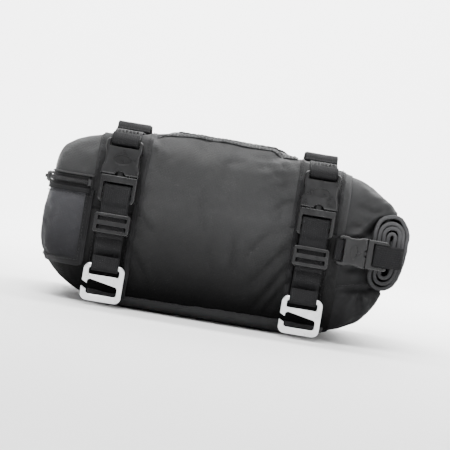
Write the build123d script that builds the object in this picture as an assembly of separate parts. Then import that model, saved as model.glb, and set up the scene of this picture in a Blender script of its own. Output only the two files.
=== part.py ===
from build123d import *
import math
import os

# Soft roll-top tail bag for a motorcycle, about ten litres.
# Frame: +X forward (roll-top end), +Y left, +Z up. The origin is the centre of the
# underside, midway between the two girth straps and the four mounting hooks.
# Units are millimetres.

# ---- driving dimensions ----------------------------------------------------------
STRAP_X = 90.0                  # girth straps and hooks lie at x = +/- STRAP_X
REAR_X = -151.0                 # rear end wall of the main shell
MOUTH_X = 118.0                 # rim of the shell where the roll-top collar starts
TOP_Z, HALF_W = 158.0, 100.0    # top and half width of the shell
R_TOP, R_BOTTOM = 26.0, 28.0    # its long rounded edges
BULGE_Z, BULGE_HALF_W = 163.4, 102.8    # the fuller middle between the straps
WALL = 2.5                      # padded laminate wall of the shell
LINER_GAP, LINER_T = 0.8, 0.8   # shell to liner, and liner film
LINER_SETBACK = 3.0             # liner rim behind the shell rim
BASE_T = 2.0                    # level of the shell's underside above the base
BASE_SIZE, BASE_R, BASE_GAP = (168, 138), 14, 0.1
WEB_W, WEB_T = 25.0, 2.0        # girth and mounting webbing
GIRTH_Z = 160.4                 # mid-plane of the girth straps on top
LOOP_W, LOOP_T = 31.0, 2.4      # docking loops on top, doubled webbing

FLANKS = (("right", -1), ("left", 1))
ENDS = (("rear", -1), ("front", 1))

os.makedirs("parts", exist_ok=True)


def save(name, shape):
    solids = list(shape.solids())
    result = solids[0] if len(solids) == 1 else Compound(children=solids)
    export_step(result, f"parts/{name}.step")


# ---- helpers ---------------------------------------------------------------------
def span(half, centre=0.0):
    return (centre - half, centre + half)


def box(xs, ys, zs):
    """A box from its (low, high) limits on each axis."""
    centre = [(low + high) / 2 for low, high in (xs, ys, zs)]
    return Pos(*centre) * Box(*[high - low for low, high in (xs, ys, zs)])


def rounded_box(xs, ys, zs, radius, axis):
    """A box with the four edges along one axis rounded."""
    return fillet(box(xs, ys, zs).edges().filter_by(axis), radius)


def outline(points):
    return make_face(Polyline(*points, close=True))


def slab(sketch, start, depth):
    """A sketch in x and z, extruded along +y from y = start."""
    return Pos(0, start, 0) * extrude(Plane.XZ * sketch, amount=-depth)


def with_mirror(points):
    """Points followed by their mirror image in the first coordinate."""
    return points + [(-u, v) for u, v in reversed(points)]


def plan_outline(left):
    """A closed plan from its left half."""
    return left + [(x, -y) for x, y in reversed(left)]


def on_side(side, points):
    """A path drawn for one positive y or x coordinate, as (side * y, z)."""
    return [(side * y, z) for y, z in points]


def arc_point(centre_y, centre_z, radius, degrees):
    angle = math.radians(degrees)
    return (centre_y + radius * math.cos(angle), centre_z + radius * math.sin(angle))


def band(points, thickness, width, plane):
    """A strip of webbing along a chain of points in a plane, extruded half its width each way."""
    face = None
    for (u0, v0), (u1, v1) in zip(points[:-1], points[1:]):
        length = math.hypot(u1 - u0, v1 - v0)
        angle = math.degrees(math.atan2(v1 - v0, u1 - u0))
        place = Pos((u0 + u1) / 2, (v0 + v1) / 2) * Rot(0, 0, angle)
        segment = place * Rectangle(length, thickness)
        face = segment if face is None else face + segment
    for u, v in points[1:-1]:
        face = face + Pos(u, v) * Circle(thickness / 2)
    return extrude(plane * face, amount=width / 2, both=True)


# ---- hulls: where a side view, a plan and a cross-section meet ---------------------
# Side views are (x, z), plans are (x, y) of the left half, and sections are
# (half width, bottom z, top z, bottom radius, top radius).
CORE_SIDE = [
    (REAR_X, 42), (REAR_X, 131), (-144, 141), (-128, 148.5), (-108, 154), (-104, TOP_Z),
    (104, TOP_Z), (130, 151.5), (130, 11.5), (104, BASE_T), (-86, BASE_T), (-108, 7), (-128, 18),
]
CORE_PLAN = plan_outline([
    (REAR_X, 84), (-144, 92.5), (-128, 98), (-112, HALF_W), (104, HALF_W), (130, 96),
])
CORE_SECTION = (HALF_W, BASE_T, TOP_Z, R_BOTTOM, R_TOP)

BULGE_SIDE = [(-72, 20), (-72, TOP_Z), (-48, BULGE_Z), (48, BULGE_Z), (72, TOP_Z), (72, 20)]
BULGE_PLAN = plan_outline([
    (-72, HALF_W), (-48, BULGE_HALF_W), (48, BULGE_HALF_W), (72, HALF_W),
])
BULGE_SECTION = (BULGE_HALF_W, 20.0, BULGE_Z, 28.0, 29.0)

COLLAR_SIDE = [
    (112, 160), (118, 154), (138, 144.5), (150, 136), (158, 124),
    (158, 52), (150, 32), (138, 19), (118, 8), (112, 4),
]
COLLAR_PLAN = plan_outline([(112, 98), (118, 97), (158, 91.6)])
COLLAR_SECTION = (97.0, 6.0, 156.0, 30.0, 28.0)
COLLAR_T = 1.8
COLLAR_X = (MOUTH_X + 0.3, 143.4)


def offset_outline(points, grow):
    face = outline(points)
    return offset(face, amount=grow, kind=Kind.INTERSECTION) if grow else face


def section_prism(section, grow):
    half_w, bottom, top, r_bottom, r_top = section
    half_w, bottom, top = half_w + grow, bottom - grow, top + grow
    sketch = Pos(0, (bottom + top) / 2) * Rectangle(2 * half_w, top - bottom)
    sketch = fillet([v for v in sketch.vertices() if v.Y < bottom + 1], r_bottom + grow)
    sketch = fillet([v for v in sketch.vertices() if v.Y > top - 0.01], r_top + grow)
    return extrude(Plane.YZ.offset(-260) * sketch, amount=520)


def hull(side, plan, section, grow):
    """The common volume of three prisms, each outline offset outwards by grow."""
    side_prism = extrude(Plane.XZ * offset_outline(side, grow), amount=140, both=True)
    plan_prism = extrude(offset_outline(plan, grow), amount=240, both=True)
    return side_prism & plan_prism & section_prism(section, grow)


def core(grow):
    return hull(CORE_SIDE, CORE_PLAN, CORE_SECTION, grow)


def behind(shape, front_x):
    """The part of a shape behind x = front_x."""
    return shape & box((-260, front_x), span(200), (-60, 300))


# ---- shell, liner, base and collar -------------------------------------------------
def main_shell():
    bulge = hull(BULGE_SIDE, BULGE_PLAN, BULGE_SECTION, 0)
    return behind(core(0) + bulge, MOUTH_X) - core(-WALL)


def inner_liner():
    outer = -(WALL + LINER_GAP)
    return behind(core(outer), MOUTH_X - LINER_SETBACK) - core(outer - LINER_T)


def base_panel():
    panel = Pos(0, 0, (BASE_T - BASE_GAP) / 2) * Box(*BASE_SIZE, BASE_T - BASE_GAP)
    return fillet(panel.edges().filter_by(Axis.Z), BASE_R)


def collar():
    outer = hull(COLLAR_SIDE, COLLAR_PLAN, COLLAR_SECTION, 0)
    inner = hull(COLLAR_SIDE, COLLAR_PLAN, COLLAR_SECTION, -COLLAR_T)
    return (outer - inner) & box(COLLAR_X, span(120), (0, 170))


save("main_shell", main_shell())
save("inner_liner", inner_liner())
save("base_panel", base_panel())
save("collar", collar())

# ---- rear pocket and zip -----------------------------------------------------------
ZIP_Z = 108.0                   # height of the zip
ZIP_REST_Y = -68.0              # where the slider rests
POCKET_Z = (34.0, 102.4)
SKIN_GAP = 0.25                 # clearance of the pocket and tape from the shell
TEETH_INNER = 1.45              # offset of the teeth's inner face from the shell
STOP_X = (-117.7, -114.7)       # end stops over the last teeth
PULL_AXIS = -7.0                # pivot of the pull, in x from the rear wall


def rear_layer(inner, outer, front_x, zs):
    """A layer round the rear end, between two offsets from the shell."""
    zone = box((-200, front_x), span(150), zs)
    return (core(outer) & zone) - core(inner)


def zip_end_stops():
    """Stops over the last teeth, one on each flank."""
    stops = rear_layer(TEETH_INNER, 4.6, STOP_X[1], span(2.8, ZIP_Z))
    flanks = box(STOP_X, (-150, -60), (60, 200)) + box(STOP_X, (60, 150), (60, 200))
    return stops & flanks


def zip_slider():
    """x is from the rear wall; y and z are from the slider's centre."""
    body = rounded_box((-6.0, -1.6), span(7.0), span(5.0), 2.4, Axis.X)
    body = fillet(body.faces().sort_by(Axis.X)[0].edges(), 0.8)
    body = body - box((-4.1, -1.0), span(20), span(2.7))    # channel for the teeth
    # bridge that carries the pull
    bridge = box((-9.0, -8.0), span(4.6), span(1.5))
    for leg in ((-4.6, -3.4), (3.4, 4.6)):
        bridge = bridge + box((-9.0, -5.8), leg, span(1.5))
    return body + bridge


def zip_pull():
    """A flat tab that turns about a vertical pin, here the z axis."""
    through = span(3)
    tab = box(span(0.8), (-2.0, 27.0), span(4.0))
    tab = fillet(tab.edges().filter_by(Axis.X), 2.4)
    tab = tab - box(through, (-3.0, 0.0), span(6.0))
    tab = tab - box(through, (-1.0, 5.8), span(2.0))        # window round the bridge
    tab = tab - box(through, (19.5, 23.5), span(2.2))       # hole near the free end
    return tab + Cylinder(0.8, 6.6)


save("rear_pocket", rear_layer(SKIN_GAP, 5.2, -111.6, POCKET_Z))
save("zip_tape", rear_layer(SKIN_GAP, 1.3, -115.0, span(5.4, ZIP_Z)))
save("zip_teeth", rear_layer(TEETH_INNER, 3.6, -118.0, span(2.1, ZIP_Z)))
save("zip_end_stops", zip_end_stops())
save("zip_slider", Pos(REAR_X, ZIP_REST_Y, ZIP_Z) * zip_slider())
save("zip_pull", Pos(REAR_X + PULL_AXIS, ZIP_REST_Y, ZIP_Z) * zip_pull())

# ---- side-release buckle, drawn about the mouth of its socket ------------------------
# Local x is width, y is outwards from the bag, z runs up into the socket.
SLOT_X = span(13.4)             # width of every webbing slot
SOCKET_T, PLUG_T = 11.0, 9.4
SOCKET_BAR_Y = (3.4, 7.6)       # back and front of the socket's webbing bar
PLUG_BAR_Y = (3.2, 6.4)         # and of the plug's bars
ARM_X, ARM_Y, ARM_Z = 9.6, 5.5, -3.2    # centre of an arm's root barrel
ARM_T = 5.8
SOCKET_HALF = [(-17, 0), (-17, 6.2), (-15.3, 10.5), (-15.3, 19), (-16.6, 24), (-16.6, 33)]
PLUG_OUTLINE = [(-16.6, -0.4), (16.6, -0.4), (16.6, -24.6), (-16.6, -24.6)]
ARM_OUTLINE = [
    (8.4, ARM_Z), (8.1, 19.2), (9.6, 21.4), (11.2, 21.0), (15.2, 13.0),
    (16.3, 10.0), (16.1, 8.2), (15.5, 7.85), (11.0, 7.85), (10.8, ARM_Z),
]


def socket():
    sketch = outline(with_mirror(SOCKET_HALF))
    sketch = fillet([v for v in sketch.vertices() if v.Y > 32], 4.5)
    body = slab(sketch, 0, SOCKET_T)
    body = fillet(body.faces().sort_by(Axis.Y)[-1].edges(), 1.6)
    # cavity, and the side windows for the barbs
    body = body - box(span(13.9), (2.0, 9.0), (-1, 22.5))
    for window in ((-25.0, -12.0), (12.0, 25.0)):
        body = body - box(window, (2.0, 9.0), (7.6, 20.4))
    # webbing slot and a slimmer bar
    body = body - rounded_box(SLOT_X, (-1, 12), (25.0, 29.4), 1.2, Axis.Y)
    body = body - box(SLOT_X, (-1, SOCKET_BAR_Y[0]), (29.0, 40))
    body = body - box(SLOT_X, (SOCKET_BAR_Y[1], 12), (29.0, 40))
    # thumb recess on the front, and a relief at the mouth
    body = body - slab(Pos(0, 14.0) * Ellipse(8.0, 4.4), 10.2, 3.0)
    return body - slab(Pos(0, -1.4) * Circle(5.0), 8.0, 4.0)


def plug():
    sketch = outline(PLUG_OUTLINE)
    sketch = fillet([v for v in sketch.vertices() if v.Y < -20], 3.5)
    body = slab(sketch, 0.2, PLUG_T)
    body = fillet(body.faces().sort_by(Axis.Y)[-1].edges(), 1.2)
    # two ladder slots
    for slot in ((-11.2, -7.0), (-20.6, -15.2)):
        body = body - rounded_box(SLOT_X, (-2, 12), slot, 0.9, Axis.Y)
    # slim the bars so the webbing runs behind them and comes back over the front
    body = body - box(SLOT_X, (-1, PLUG_BAR_Y[0]), (-30, -7.5))
    body = body - box(SLOT_X, (PLUG_BAR_Y[1], 12), (-30, -7.5))
    # seats for the two spring arms
    for side in (-1, 1):
        seat = Pos(side * ARM_X, ARM_Y, ARM_Z) * Rot(90, 0, 0) * Cylinder(1.7, 6.6)
        body = body - seat
        body = body - box(span(2.4, side * ARM_X), (2.2, 8.8), (ARM_Z, 1.0))
    guide = box(span(2.3), (3.0, 8.0), (-1.0, 20.0))
    guide = chamfer(guide.faces().sort_by(Axis.Z)[-1].edges(), 0.9)
    return body + guide


def spring_arm():
    """The +x spring arm with its barb and its root barrel."""
    body = slab(outline(ARM_OUTLINE), ARM_Y - ARM_T / 2, ARM_T)
    return body + Pos(ARM_X, ARM_Y, ARM_Z) * Rot(90, 0, 0) * Cylinder(1.6, ARM_T)


ARM = spring_arm()
BUCKLE = {
    "socket": socket(),
    "plug": plug(),
    "arm_a": mirror(ARM, about=Plane.YZ),
    "arm_b": ARM,
}

# ---- strap buckles, sliders, hooks and mounting webbing ------------------------------
TILT = math.radians(7.0)        # side buckles lean in at the top
BUCKLE_Y, BUCKLE_Z = 102.4, 118.0   # back face of each side socket at its mouth
HOOK_Y = 108.2                  # mid-plane of the hooks
HOOK_BAR_Z = 36.0               # axis of each hook's webbing bar
HOOK_T = 3.0
HOOK_SLOT_W = 27.6              # webbing slot, and the round bar across it
HOOK_LOOP_R = 3.9               # mid-line of the webbing round the bar


def flank_point(out, up):
    """Buckle-frame (outwards, up) to (y, z) of the bag on the left flank."""
    y = BUCKLE_Y + out * math.cos(TILT) - up * math.sin(TILT)
    z = BUCKLE_Z + out * math.sin(TILT) + up * math.cos(TILT)
    return (y, z)


def buckle_frame(end, side):
    """y points out of the bag, z leans in at the top."""
    lean = Vector(0, -side * math.sin(TILT), math.cos(TILT))
    origin = (end * STRAP_X, side * BUCKLE_Y, BUCKLE_Z)
    return Plane(origin=origin, x_dir=(side, 0, 0), z_dir=lean).location


def hook_frame(end, side):
    origin = (end * STRAP_X, side * HOOK_Y, HOOK_BAR_Z)
    return Plane(origin=origin, x_dir=(side, 0, 0), z_dir=(0, 0, 1)).location


def strap_slider():
    """Three-bar slide round the load strap and its tail, in the buckle's frame."""
    bottom, top = -53.0, -35.0
    back, front = -1.3, 8.4
    wall, edge, half_bar = 1.5, 3.0, 1.9
    middle = (bottom + top) / 2
    opening = span(13.2)
    body = rounded_box(span(16.2), (back, front), (bottom, top), 2.6, Axis.Y)
    body = fillet(body.faces().sort_by(Axis.Y)[-1].edges(), 0.8)
    # passage for both layers
    body = body - box(opening, (back + wall, front - wall), (bottom - 2, top + 2))
    # open slots through the front, above and below the middle bar
    for slot in ((middle + half_bar, top - edge), (bottom + edge, middle - half_bar)):
        body = body - rounded_box(opening, (front - 3, front + 2), slot, 0.8, Axis.Y)
    return body


def g_hook():
    """Flat hook about the axis of its webbing bar; x is width, y is outwards, z is up."""
    sketch = Pos(0, -14.9) * RectangleRounded(37.0, 34.0, 6.0)
    sketch = sketch - Pos(0, -5.1) * RectangleRounded(HOOK_SLOT_W, 6.2, 1.6)
    # the eye, whose upper edge slants, so the middle bar widens away from the gate
    eye = outline([(-13.8, -17.2), (13.8, -12.0), (13.8, -26.0), (-13.8, -26.0)])
    sketch = sketch - fillet(eye.vertices(), 2.6)
    # the gate, a slanted gap through one side bar
    sketch = sketch - Pos(16.2, -18.2) * Rot(0, 0, 28) * Rectangle(12.0, 4.6)
    body = extrude(Plane.XZ * sketch, amount=HOOK_T / 2, both=True)
    body = body + Rot(0, 90, 0) * Cylinder(2.05, HOOK_SLOT_W)

    def on_flat_face(edge):
        centre = edge.center()
        return abs(abs(centre.Y) - HOOK_T / 2) < 0.01 and abs(centre.Z) > 2.6

    rims = body.edges().filter_by(on_flat_face)
    # guards against a radius the rims can't take: the next smaller one is used
    for radius in (0.9, 0.6, 0.4):
        try:
            return fillet(rims, radius)
        except Exception:
            continue
    return body


def mount_webbing(end, side):
    """Round the hook bar, up behind the plug, over its upper bar, then down in front."""
    path = [(HOOK_Y + 3.6, HOOK_BAR_Z + 9.5)]
    path += [arc_point(HOOK_Y, HOOK_BAR_Z, HOOK_LOOP_R, a) for a in range(20, -201, -20)]
    path += [(HOOK_Y - 3.2, HOOK_BAR_Z + 9.0)]
    # (outwards, up) in the buckle's frame: up behind the bars, then the tail in front
    run = [
        (1.6, -66.0), (1.6, -40.0), (1.6, -9.2),
        (8.0, -9.2), (8.0, -24.6), (5.4, -28.0), (5.4, -57.0),
    ]
    path += [flank_point(out, up) for out, up in run]
    return band(on_side(side, path), WEB_T, WEB_W, Plane.YZ.offset(end * STRAP_X))


SLIDER, HOOK = strap_slider(), g_hook()

for end_name, end in ENDS:
    for flank_name, side in FLANKS:
        tag = f"{end_name}_{flank_name}"
        frame = buckle_frame(end, side)
        save(f"buckle_socket_{tag}", frame * BUCKLE["socket"])
        save(f"buckle_plug_{tag}", frame * BUCKLE["plug"])
        save(f"plug_arm_a_{tag}", frame * BUCKLE["arm_a"])
        save(f"plug_arm_b_{tag}", frame * BUCKLE["arm_b"])
        save(f"strap_slider_{tag}", frame * SLIDER)
        save(f"g_hook_{tag}", hook_frame(end, side) * HOOK)
        save(f"mount_webbing_{tag}", mount_webbing(end, side))

# ---- girth straps and docking loops --------------------------------------------------
# turn of the strap round the socket bar: (outwards, up) in the buckle's frame
GIRTH_TURN = [
    (5.0, 38.6), (9.4, 33.2), (9.2, 29.6), (8.0, 27.8),
    (5.5, 27.2), (2.8, 28.0), (1.6, 31.5), (1.4, 36.5),
]
SHOULDER_Y, SHOULDER_R = HALF_W - R_TOP, 26.6
LOOP_END_Y = 26.0
TUNNEL_YS = (-12.0, 12.0)
# one docking tunnel: (y from its centre, rise)
TUNNEL = [(-11.0, 0.1), (-8.6, 3.6), (-4.6, 6.4), (4.6, 6.4), (8.6, 3.6), (11.0, 0.1)]


def girth_strap(x):
    """Over the top of the bag, from socket to socket."""
    half = [flank_point(out, up) for out, up in GIRTH_TURN]
    for angle in (62, 76, 90):
        half.append(arc_point(SHOULDER_Y, GIRTH_Z - SHOULDER_R, SHOULDER_R, angle))
    return band(with_mirror(half), WEB_T, WEB_W, Plane.YZ.offset(x))


def docking_loop(x):
    """A wider strip along the girth strap, raised into two tunnels."""
    z = GIRTH_Z + WEB_T / 2 + 1.25
    path = [(-LOOP_END_Y, z)]
    for centre in TUNNEL_YS:
        path += [(centre + y, z + rise) for y, rise in TUNNEL]
    path += [(LOOP_END_Y, z)]
    return band(path, LOOP_T, LOOP_W, Plane.YZ.offset(x))


for end_name, end in ENDS:
    save(f"girth_strap_{end_name}", girth_strap(end * STRAP_X))
    save(f"docking_loop_{end_name}", docking_loop(end * STRAP_X))

# ---- carry handle: webbing bowed up through a moulded grip ---------------------------
HANDLE_Z = 167.1
HANDLE_HALF = [(-69.6, GIRTH_Z), (-60.0, 162.5), (-53.0, HANDLE_Z - 0.8), (-49.5, HANDLE_Z)]


def handle_grip():
    grip = rounded_box(span(48), span(14.4), span(2.35, HANDLE_Z), 2.3, Axis.X)
    return grip - box(span(60), span(12.8), span(1.2, HANDLE_Z))


save("handle_webbing", band(with_mirror(HANDLE_HALF), WEB_T, WEB_W, Plane.XZ))
save("handle_grip", handle_grip())

# ---- the rolled closure ----------------------------------------------------------------
ROLL_X, ROLL_Z = 162.0, 88.0    # axis of the roll
ROLL_H, ROLL_D = 76.0, 36.0     # its height and depth
ROLL_HALF = 93.0                # half its width
STIFF_X, STIFF_Y, STIFF_Z = 0.8, 88.0, 11.0     # half sizes of the lip stiffener


def rolled_top():
    roll = Plane.XZ * (Pos(ROLL_X, ROLL_Z) * Rot(0, 0, 90) * SlotOverall(ROLL_H, ROLL_D))
    roll = extrude(roll, amount=ROLL_HALF, both=True)
    roll = fillet(roll.faces().filter_by(Axis.Y).edges(), 3.0)
    # pocket for the stiffener, with clearance all round
    return roll - box(
        span(STIFF_X + 0.2, ROLL_X), span(STIFF_Y + 0.3), span(STIFF_Z + 0.3, ROLL_Z)
    )


def lip_stiffener():
    return rounded_box(
        span(STIFF_X, ROLL_X), span(STIFF_Y), span(STIFF_Z, ROLL_Z), 3.0, Axis.X
    )


save("rolled_top", rolled_top())
save("lip_stiffener", lip_stiffener())

# ---- closure buckles and straps --------------------------------------------------------
CLOSE_K = 0.8                   # closure buckles are 20 mm, against 25 mm on the straps
CLOSE_X, CLOSE_Y, CLOSE_Z = 139.0, 102.2, 86.0  # mouth of each closure socket
CLOSE_W = 20.0
TAB_T, CLOSE_T = 1.4, 1.5       # webbing of the tab and of the strap


def closure_frame(side):
    """Local z points to the rear, into the socket; local y out of the bag."""
    origin = (CLOSE_X, side * CLOSE_Y, CLOSE_Z)
    return Plane(origin=origin, x_dir=(0, 0, side), z_dir=(-1, 0, 0)).location


def closure_band(side, path, thickness):
    """Webbing at buckle height from (x, outward y) points."""
    points = [(x, side * y) for x, y in path]
    return band(points, thickness, CLOSE_W, Plane.XY.offset(CLOSE_Z))


def from_mouth(points):
    """(outwards, rearwards) from the socket mouth to (x, outward y)."""
    return [(CLOSE_X - back, CLOSE_Y + out) for out, back in points]


def closure_tab(side):
    """Short tab looped round the socket bar."""
    inner, outer = -1.1, SOCKET_BAR_Y[1] * CLOSE_K + 1.1
    rear, slot = 35.3 * CLOSE_K, 27.2 * CLOSE_K
    path = from_mouth([
        (inner, slot), (inner, rear - 0.9), (inner + 0.9, rear), (outer - 0.9, rear),
        (outer, rear - 0.9), (outer, slot + 0.7), (outer - 0.7, slot), (inner, slot),
    ])
    return closure_band(side, path, TAB_T)


def closure_strap(side):
    """From the end of the roll, round the corner and back to the plug."""
    path = [
        (ROLL_X + 9.0, ROLL_HALF + 1.7),
        (ROLL_X + 11.4, ROLL_HALF + 3.4),
        (ROLL_X + 11.0, ROLL_HALF + 7.0),
        (ROLL_X + 7.0, CLOSE_Y + 0.4),
    ]
    front = 8.4 * CLOSE_K
    path += from_mouth([
        (1.2, -20.0), (1.2, -9.0 * CLOSE_K), (front, -9.0 * CLOSE_K),
        (front, -24.0 * CLOSE_K), (5.2, -27.0), (4.6, -31.0),
    ])
    return closure_band(side, path, CLOSE_T)


for flank_name, side in FLANKS:
    for piece, shape in BUCKLE.items():
        small = scale(shape, CLOSE_K)
        save(f"closure_{piece}_{flank_name}", closure_frame(side) * small)
    save(f"closure_tab_{flank_name}", closure_tab(side))
    save(f"closure_strap_{flank_name}", closure_strap(side))
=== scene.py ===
# A roll-top bag lying along X, in metres with Z up and its underside on the floor at z = 0.
# The closed rear end is at -X and the rolled mouth at +X; left is +Y and right is -Y.
# Two girth straps pass over it, with a handle between them and a hooked strap at each corner.
# Sizes below are in millimetres; meshes are scaled by MM as they are made.
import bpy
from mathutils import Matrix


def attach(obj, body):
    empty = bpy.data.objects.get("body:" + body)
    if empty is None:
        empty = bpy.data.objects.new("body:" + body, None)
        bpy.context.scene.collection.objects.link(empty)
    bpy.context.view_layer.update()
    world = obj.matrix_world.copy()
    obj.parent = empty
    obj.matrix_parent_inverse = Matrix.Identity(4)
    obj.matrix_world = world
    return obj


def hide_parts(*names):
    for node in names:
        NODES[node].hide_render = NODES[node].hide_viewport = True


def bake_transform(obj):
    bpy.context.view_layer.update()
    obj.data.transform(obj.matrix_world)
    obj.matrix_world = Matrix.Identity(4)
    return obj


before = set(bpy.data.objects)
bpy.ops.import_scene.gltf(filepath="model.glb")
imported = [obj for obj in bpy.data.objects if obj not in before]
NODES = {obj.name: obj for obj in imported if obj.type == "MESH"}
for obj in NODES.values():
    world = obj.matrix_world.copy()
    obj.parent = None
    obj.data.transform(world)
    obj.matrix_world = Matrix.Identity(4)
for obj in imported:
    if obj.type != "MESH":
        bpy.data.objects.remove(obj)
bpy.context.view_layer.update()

import bisect
import random
from math import acos, atan2, copysign, cos, degrees, exp, hypot, pi, radians, sin, tau

import bmesh
import bpy
import numpy as np
from mathutils import Matrix, Vector, noise
from mathutils.bvhtree import BVHTree

random.seed(7)
np.random.seed(7)
MM = 0.001
SCENE = bpy.context.scene

# ---------------------------------------------------------------- dimensions, as the CAD
STRAP_X = 90.0                                  # girth straps, either side of the middle
FACE_X, MOUTH_X = -150.9, 118.0                 # rear face and open end of the shell
ZIP_Z = 108.0
ROLL_X, ROLL_Z, ROLL_HALF = 162.0, 88.0, 93.0   # centre and half length of the roll
BUCKLE_Y, BUCKLE_Z = 102.4, 118.0
BUCKLE_TILT = radians(7.0)
HOOK_Y, HOOK_BAR_Z = 108.2, 36.0
CLOSE_X, CLOSE_Y, CLOSE_Z = 139.0, 102.2, 86.0  # closure buckles
CLOSE_SCALE = 0.8                               # closure buckles against the strap buckles
HANDLE_Z = 167.1
GIRTH_Z = 160.4                                 # girth straps over the top
ENDS = (("rear", -1), ("front", 1))
SIDES = (("right", -1), ("left", 1))


def vec(x, y, z):
    return Vector((x, y, z))


# ---------------------------------------------------------------- material helpers
class Shader:
    """A material round one Principled node. Inputs take numbers, colours or sockets."""

    def __init__(self, name):
        self.material = bpy.data.materials.new(name)
        self.material.use_nodes = True
        self.tree = self.material.node_tree
        self.tree.nodes.clear()
        out = self.node("OutputMaterial")
        self.surface = self.node("BsdfPrincipled")
        self.tree.links.new(self.surface.outputs[0], out.inputs[0])
        self.pos = self.node("TexCoord").outputs["Object"]

    def node(self, kind, inputs=None, **settings):
        node = self.tree.nodes.new("ShaderNode" + kind)
        for key, value in settings.items():
            setattr(node, key, value)
        for key, value in (inputs or {}).items():
            self.put(node, key, value)
        return node

    def put(self, node, key, value):
        socket = node.inputs[key]
        if isinstance(value, bpy.types.NodeSocket):
            self.tree.links.new(value, socket)
        else:
            socket.default_value = (*value, 1.0) if socket.type == "RGBA" else value

    def math(self, operation, *values):
        return self.node("Math", dict(enumerate(values)), operation=operation).outputs[0]

    def add(self, a, b):
        return self.math("ADD", a, b)

    def sub(self, a, b):
        return self.math("SUBTRACT", a, b)

    def mul(self, a, b):
        return self.math("MULTIPLY", a, b)

    def over(self, a, b):
        return self.math("GREATER_THAN", a, b)

    def split(self, vector):
        return self.node("SeparateXYZ", {0: vector}).outputs

    def noise(self, scale, detail=4.0, rough=0.55, distort=0.0, vector=None):
        return self.node("TexNoise", {
            "Vector": vector or self.pos, "Scale": scale, "Detail": detail,
            "Roughness": rough, "Distortion": distort}).outputs["Fac"]

    def voronoi(self, scale, feature, span, to=(0.0, 1.0)):
        cells = self.node("TexVoronoi", {"Vector": self.pos, "Scale": scale}, feature=feature)
        return self.remap(cells.outputs["Distance"], span, to)

    def remap(self, value, span, to=(0.0, 1.0)):
        """Clamped change of range from span to to."""
        inputs = dict(enumerate((value, *span, *to)))
        return self.node("MapRange", inputs, clamp=True).outputs[0]

    def edge(self, span):
        """High on convex edges."""
        return self.remap(self.node("NewGeometry").outputs["Pointiness"], span)

    def mix(self, factor, a, b, amount=None):
        if amount is not None:
            factor = self.mul(factor, amount)
        return self.node("Mix", {0: factor, 6: a, 7: b}, data_type="RGBA").outputs[2]

    def stretched(self, scale, **inputs):
        return self.node("Mapping", {"Vector": self.pos, "Scale": scale, **inputs}).outputs[0]

    def soft_edges(self, radius):
        return self.node("Bevel", {"Radius": radius}, samples=4).outputs[0]

    def bump(self, height, strength, depth, normal=None):
        inputs = {"Strength": strength, "Distance": depth, "Height": height}
        if normal is not None:
            inputs["Normal"] = normal
        return self.node("Bump", inputs).outputs[0]

    def finish(self, color, rough, normal, **others):
        self.put(self.surface, "Base Color", color)
        self.put(self.surface, "Roughness", rough)
        self.put(self.surface, "Normal", normal)
        for key, value in others.items():
            self.put(self.surface, key.replace("_", " "), value)
        return self.material


def shade(color, gain):
    return tuple(min(1, c * gain) for c in color)


def box_coords(t):
    """Flat cloth coordinates from the side the surface faces most, so a weave needs no UVs."""
    normal = t.split(t.node("NewGeometry").outputs["Normal"])
    pos = t.split(t.pos)
    nx, ny, nz = (t.math("ABSOLUTE", normal[i]) for i in range(3))
    side = t.mul(t.over(ny, nx), t.over(ny, nz))
    end = t.mul(t.over(nx, ny), t.over(nx, nz))
    top = t.sub(t.sub(1.0, side), end)
    # u is x, or y on an end; v is z, or y on top
    u = t.add(t.mul(pos[0], t.sub(1.0, end)), t.mul(pos[1], end))
    v = t.add(t.mul(pos[2], t.sub(1.0, top)), t.mul(pos[1], top))
    return u, v


def weave_height(t, u, v, pitch):
    """A plain weave of over and under threads at a pitch in metres."""
    turn = pi / pitch
    sign = t.mul(t.math("SINE", t.mul(u, turn)), t.math("SINE", t.mul(v, turn)))
    cos_u, cos_v = (t.math("ABSOLUTE", t.math("COSINE", t.mul(c, turn))) for c in (u, v))
    over = t.over(sign, 0.0)
    under = t.sub(1.0, over)
    return t.add(t.mul(over, t.sub(1.0, t.mul(cos_u, cos_u))),
                 t.mul(under, t.sub(1.0, t.mul(cos_v, cos_v))))


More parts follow.
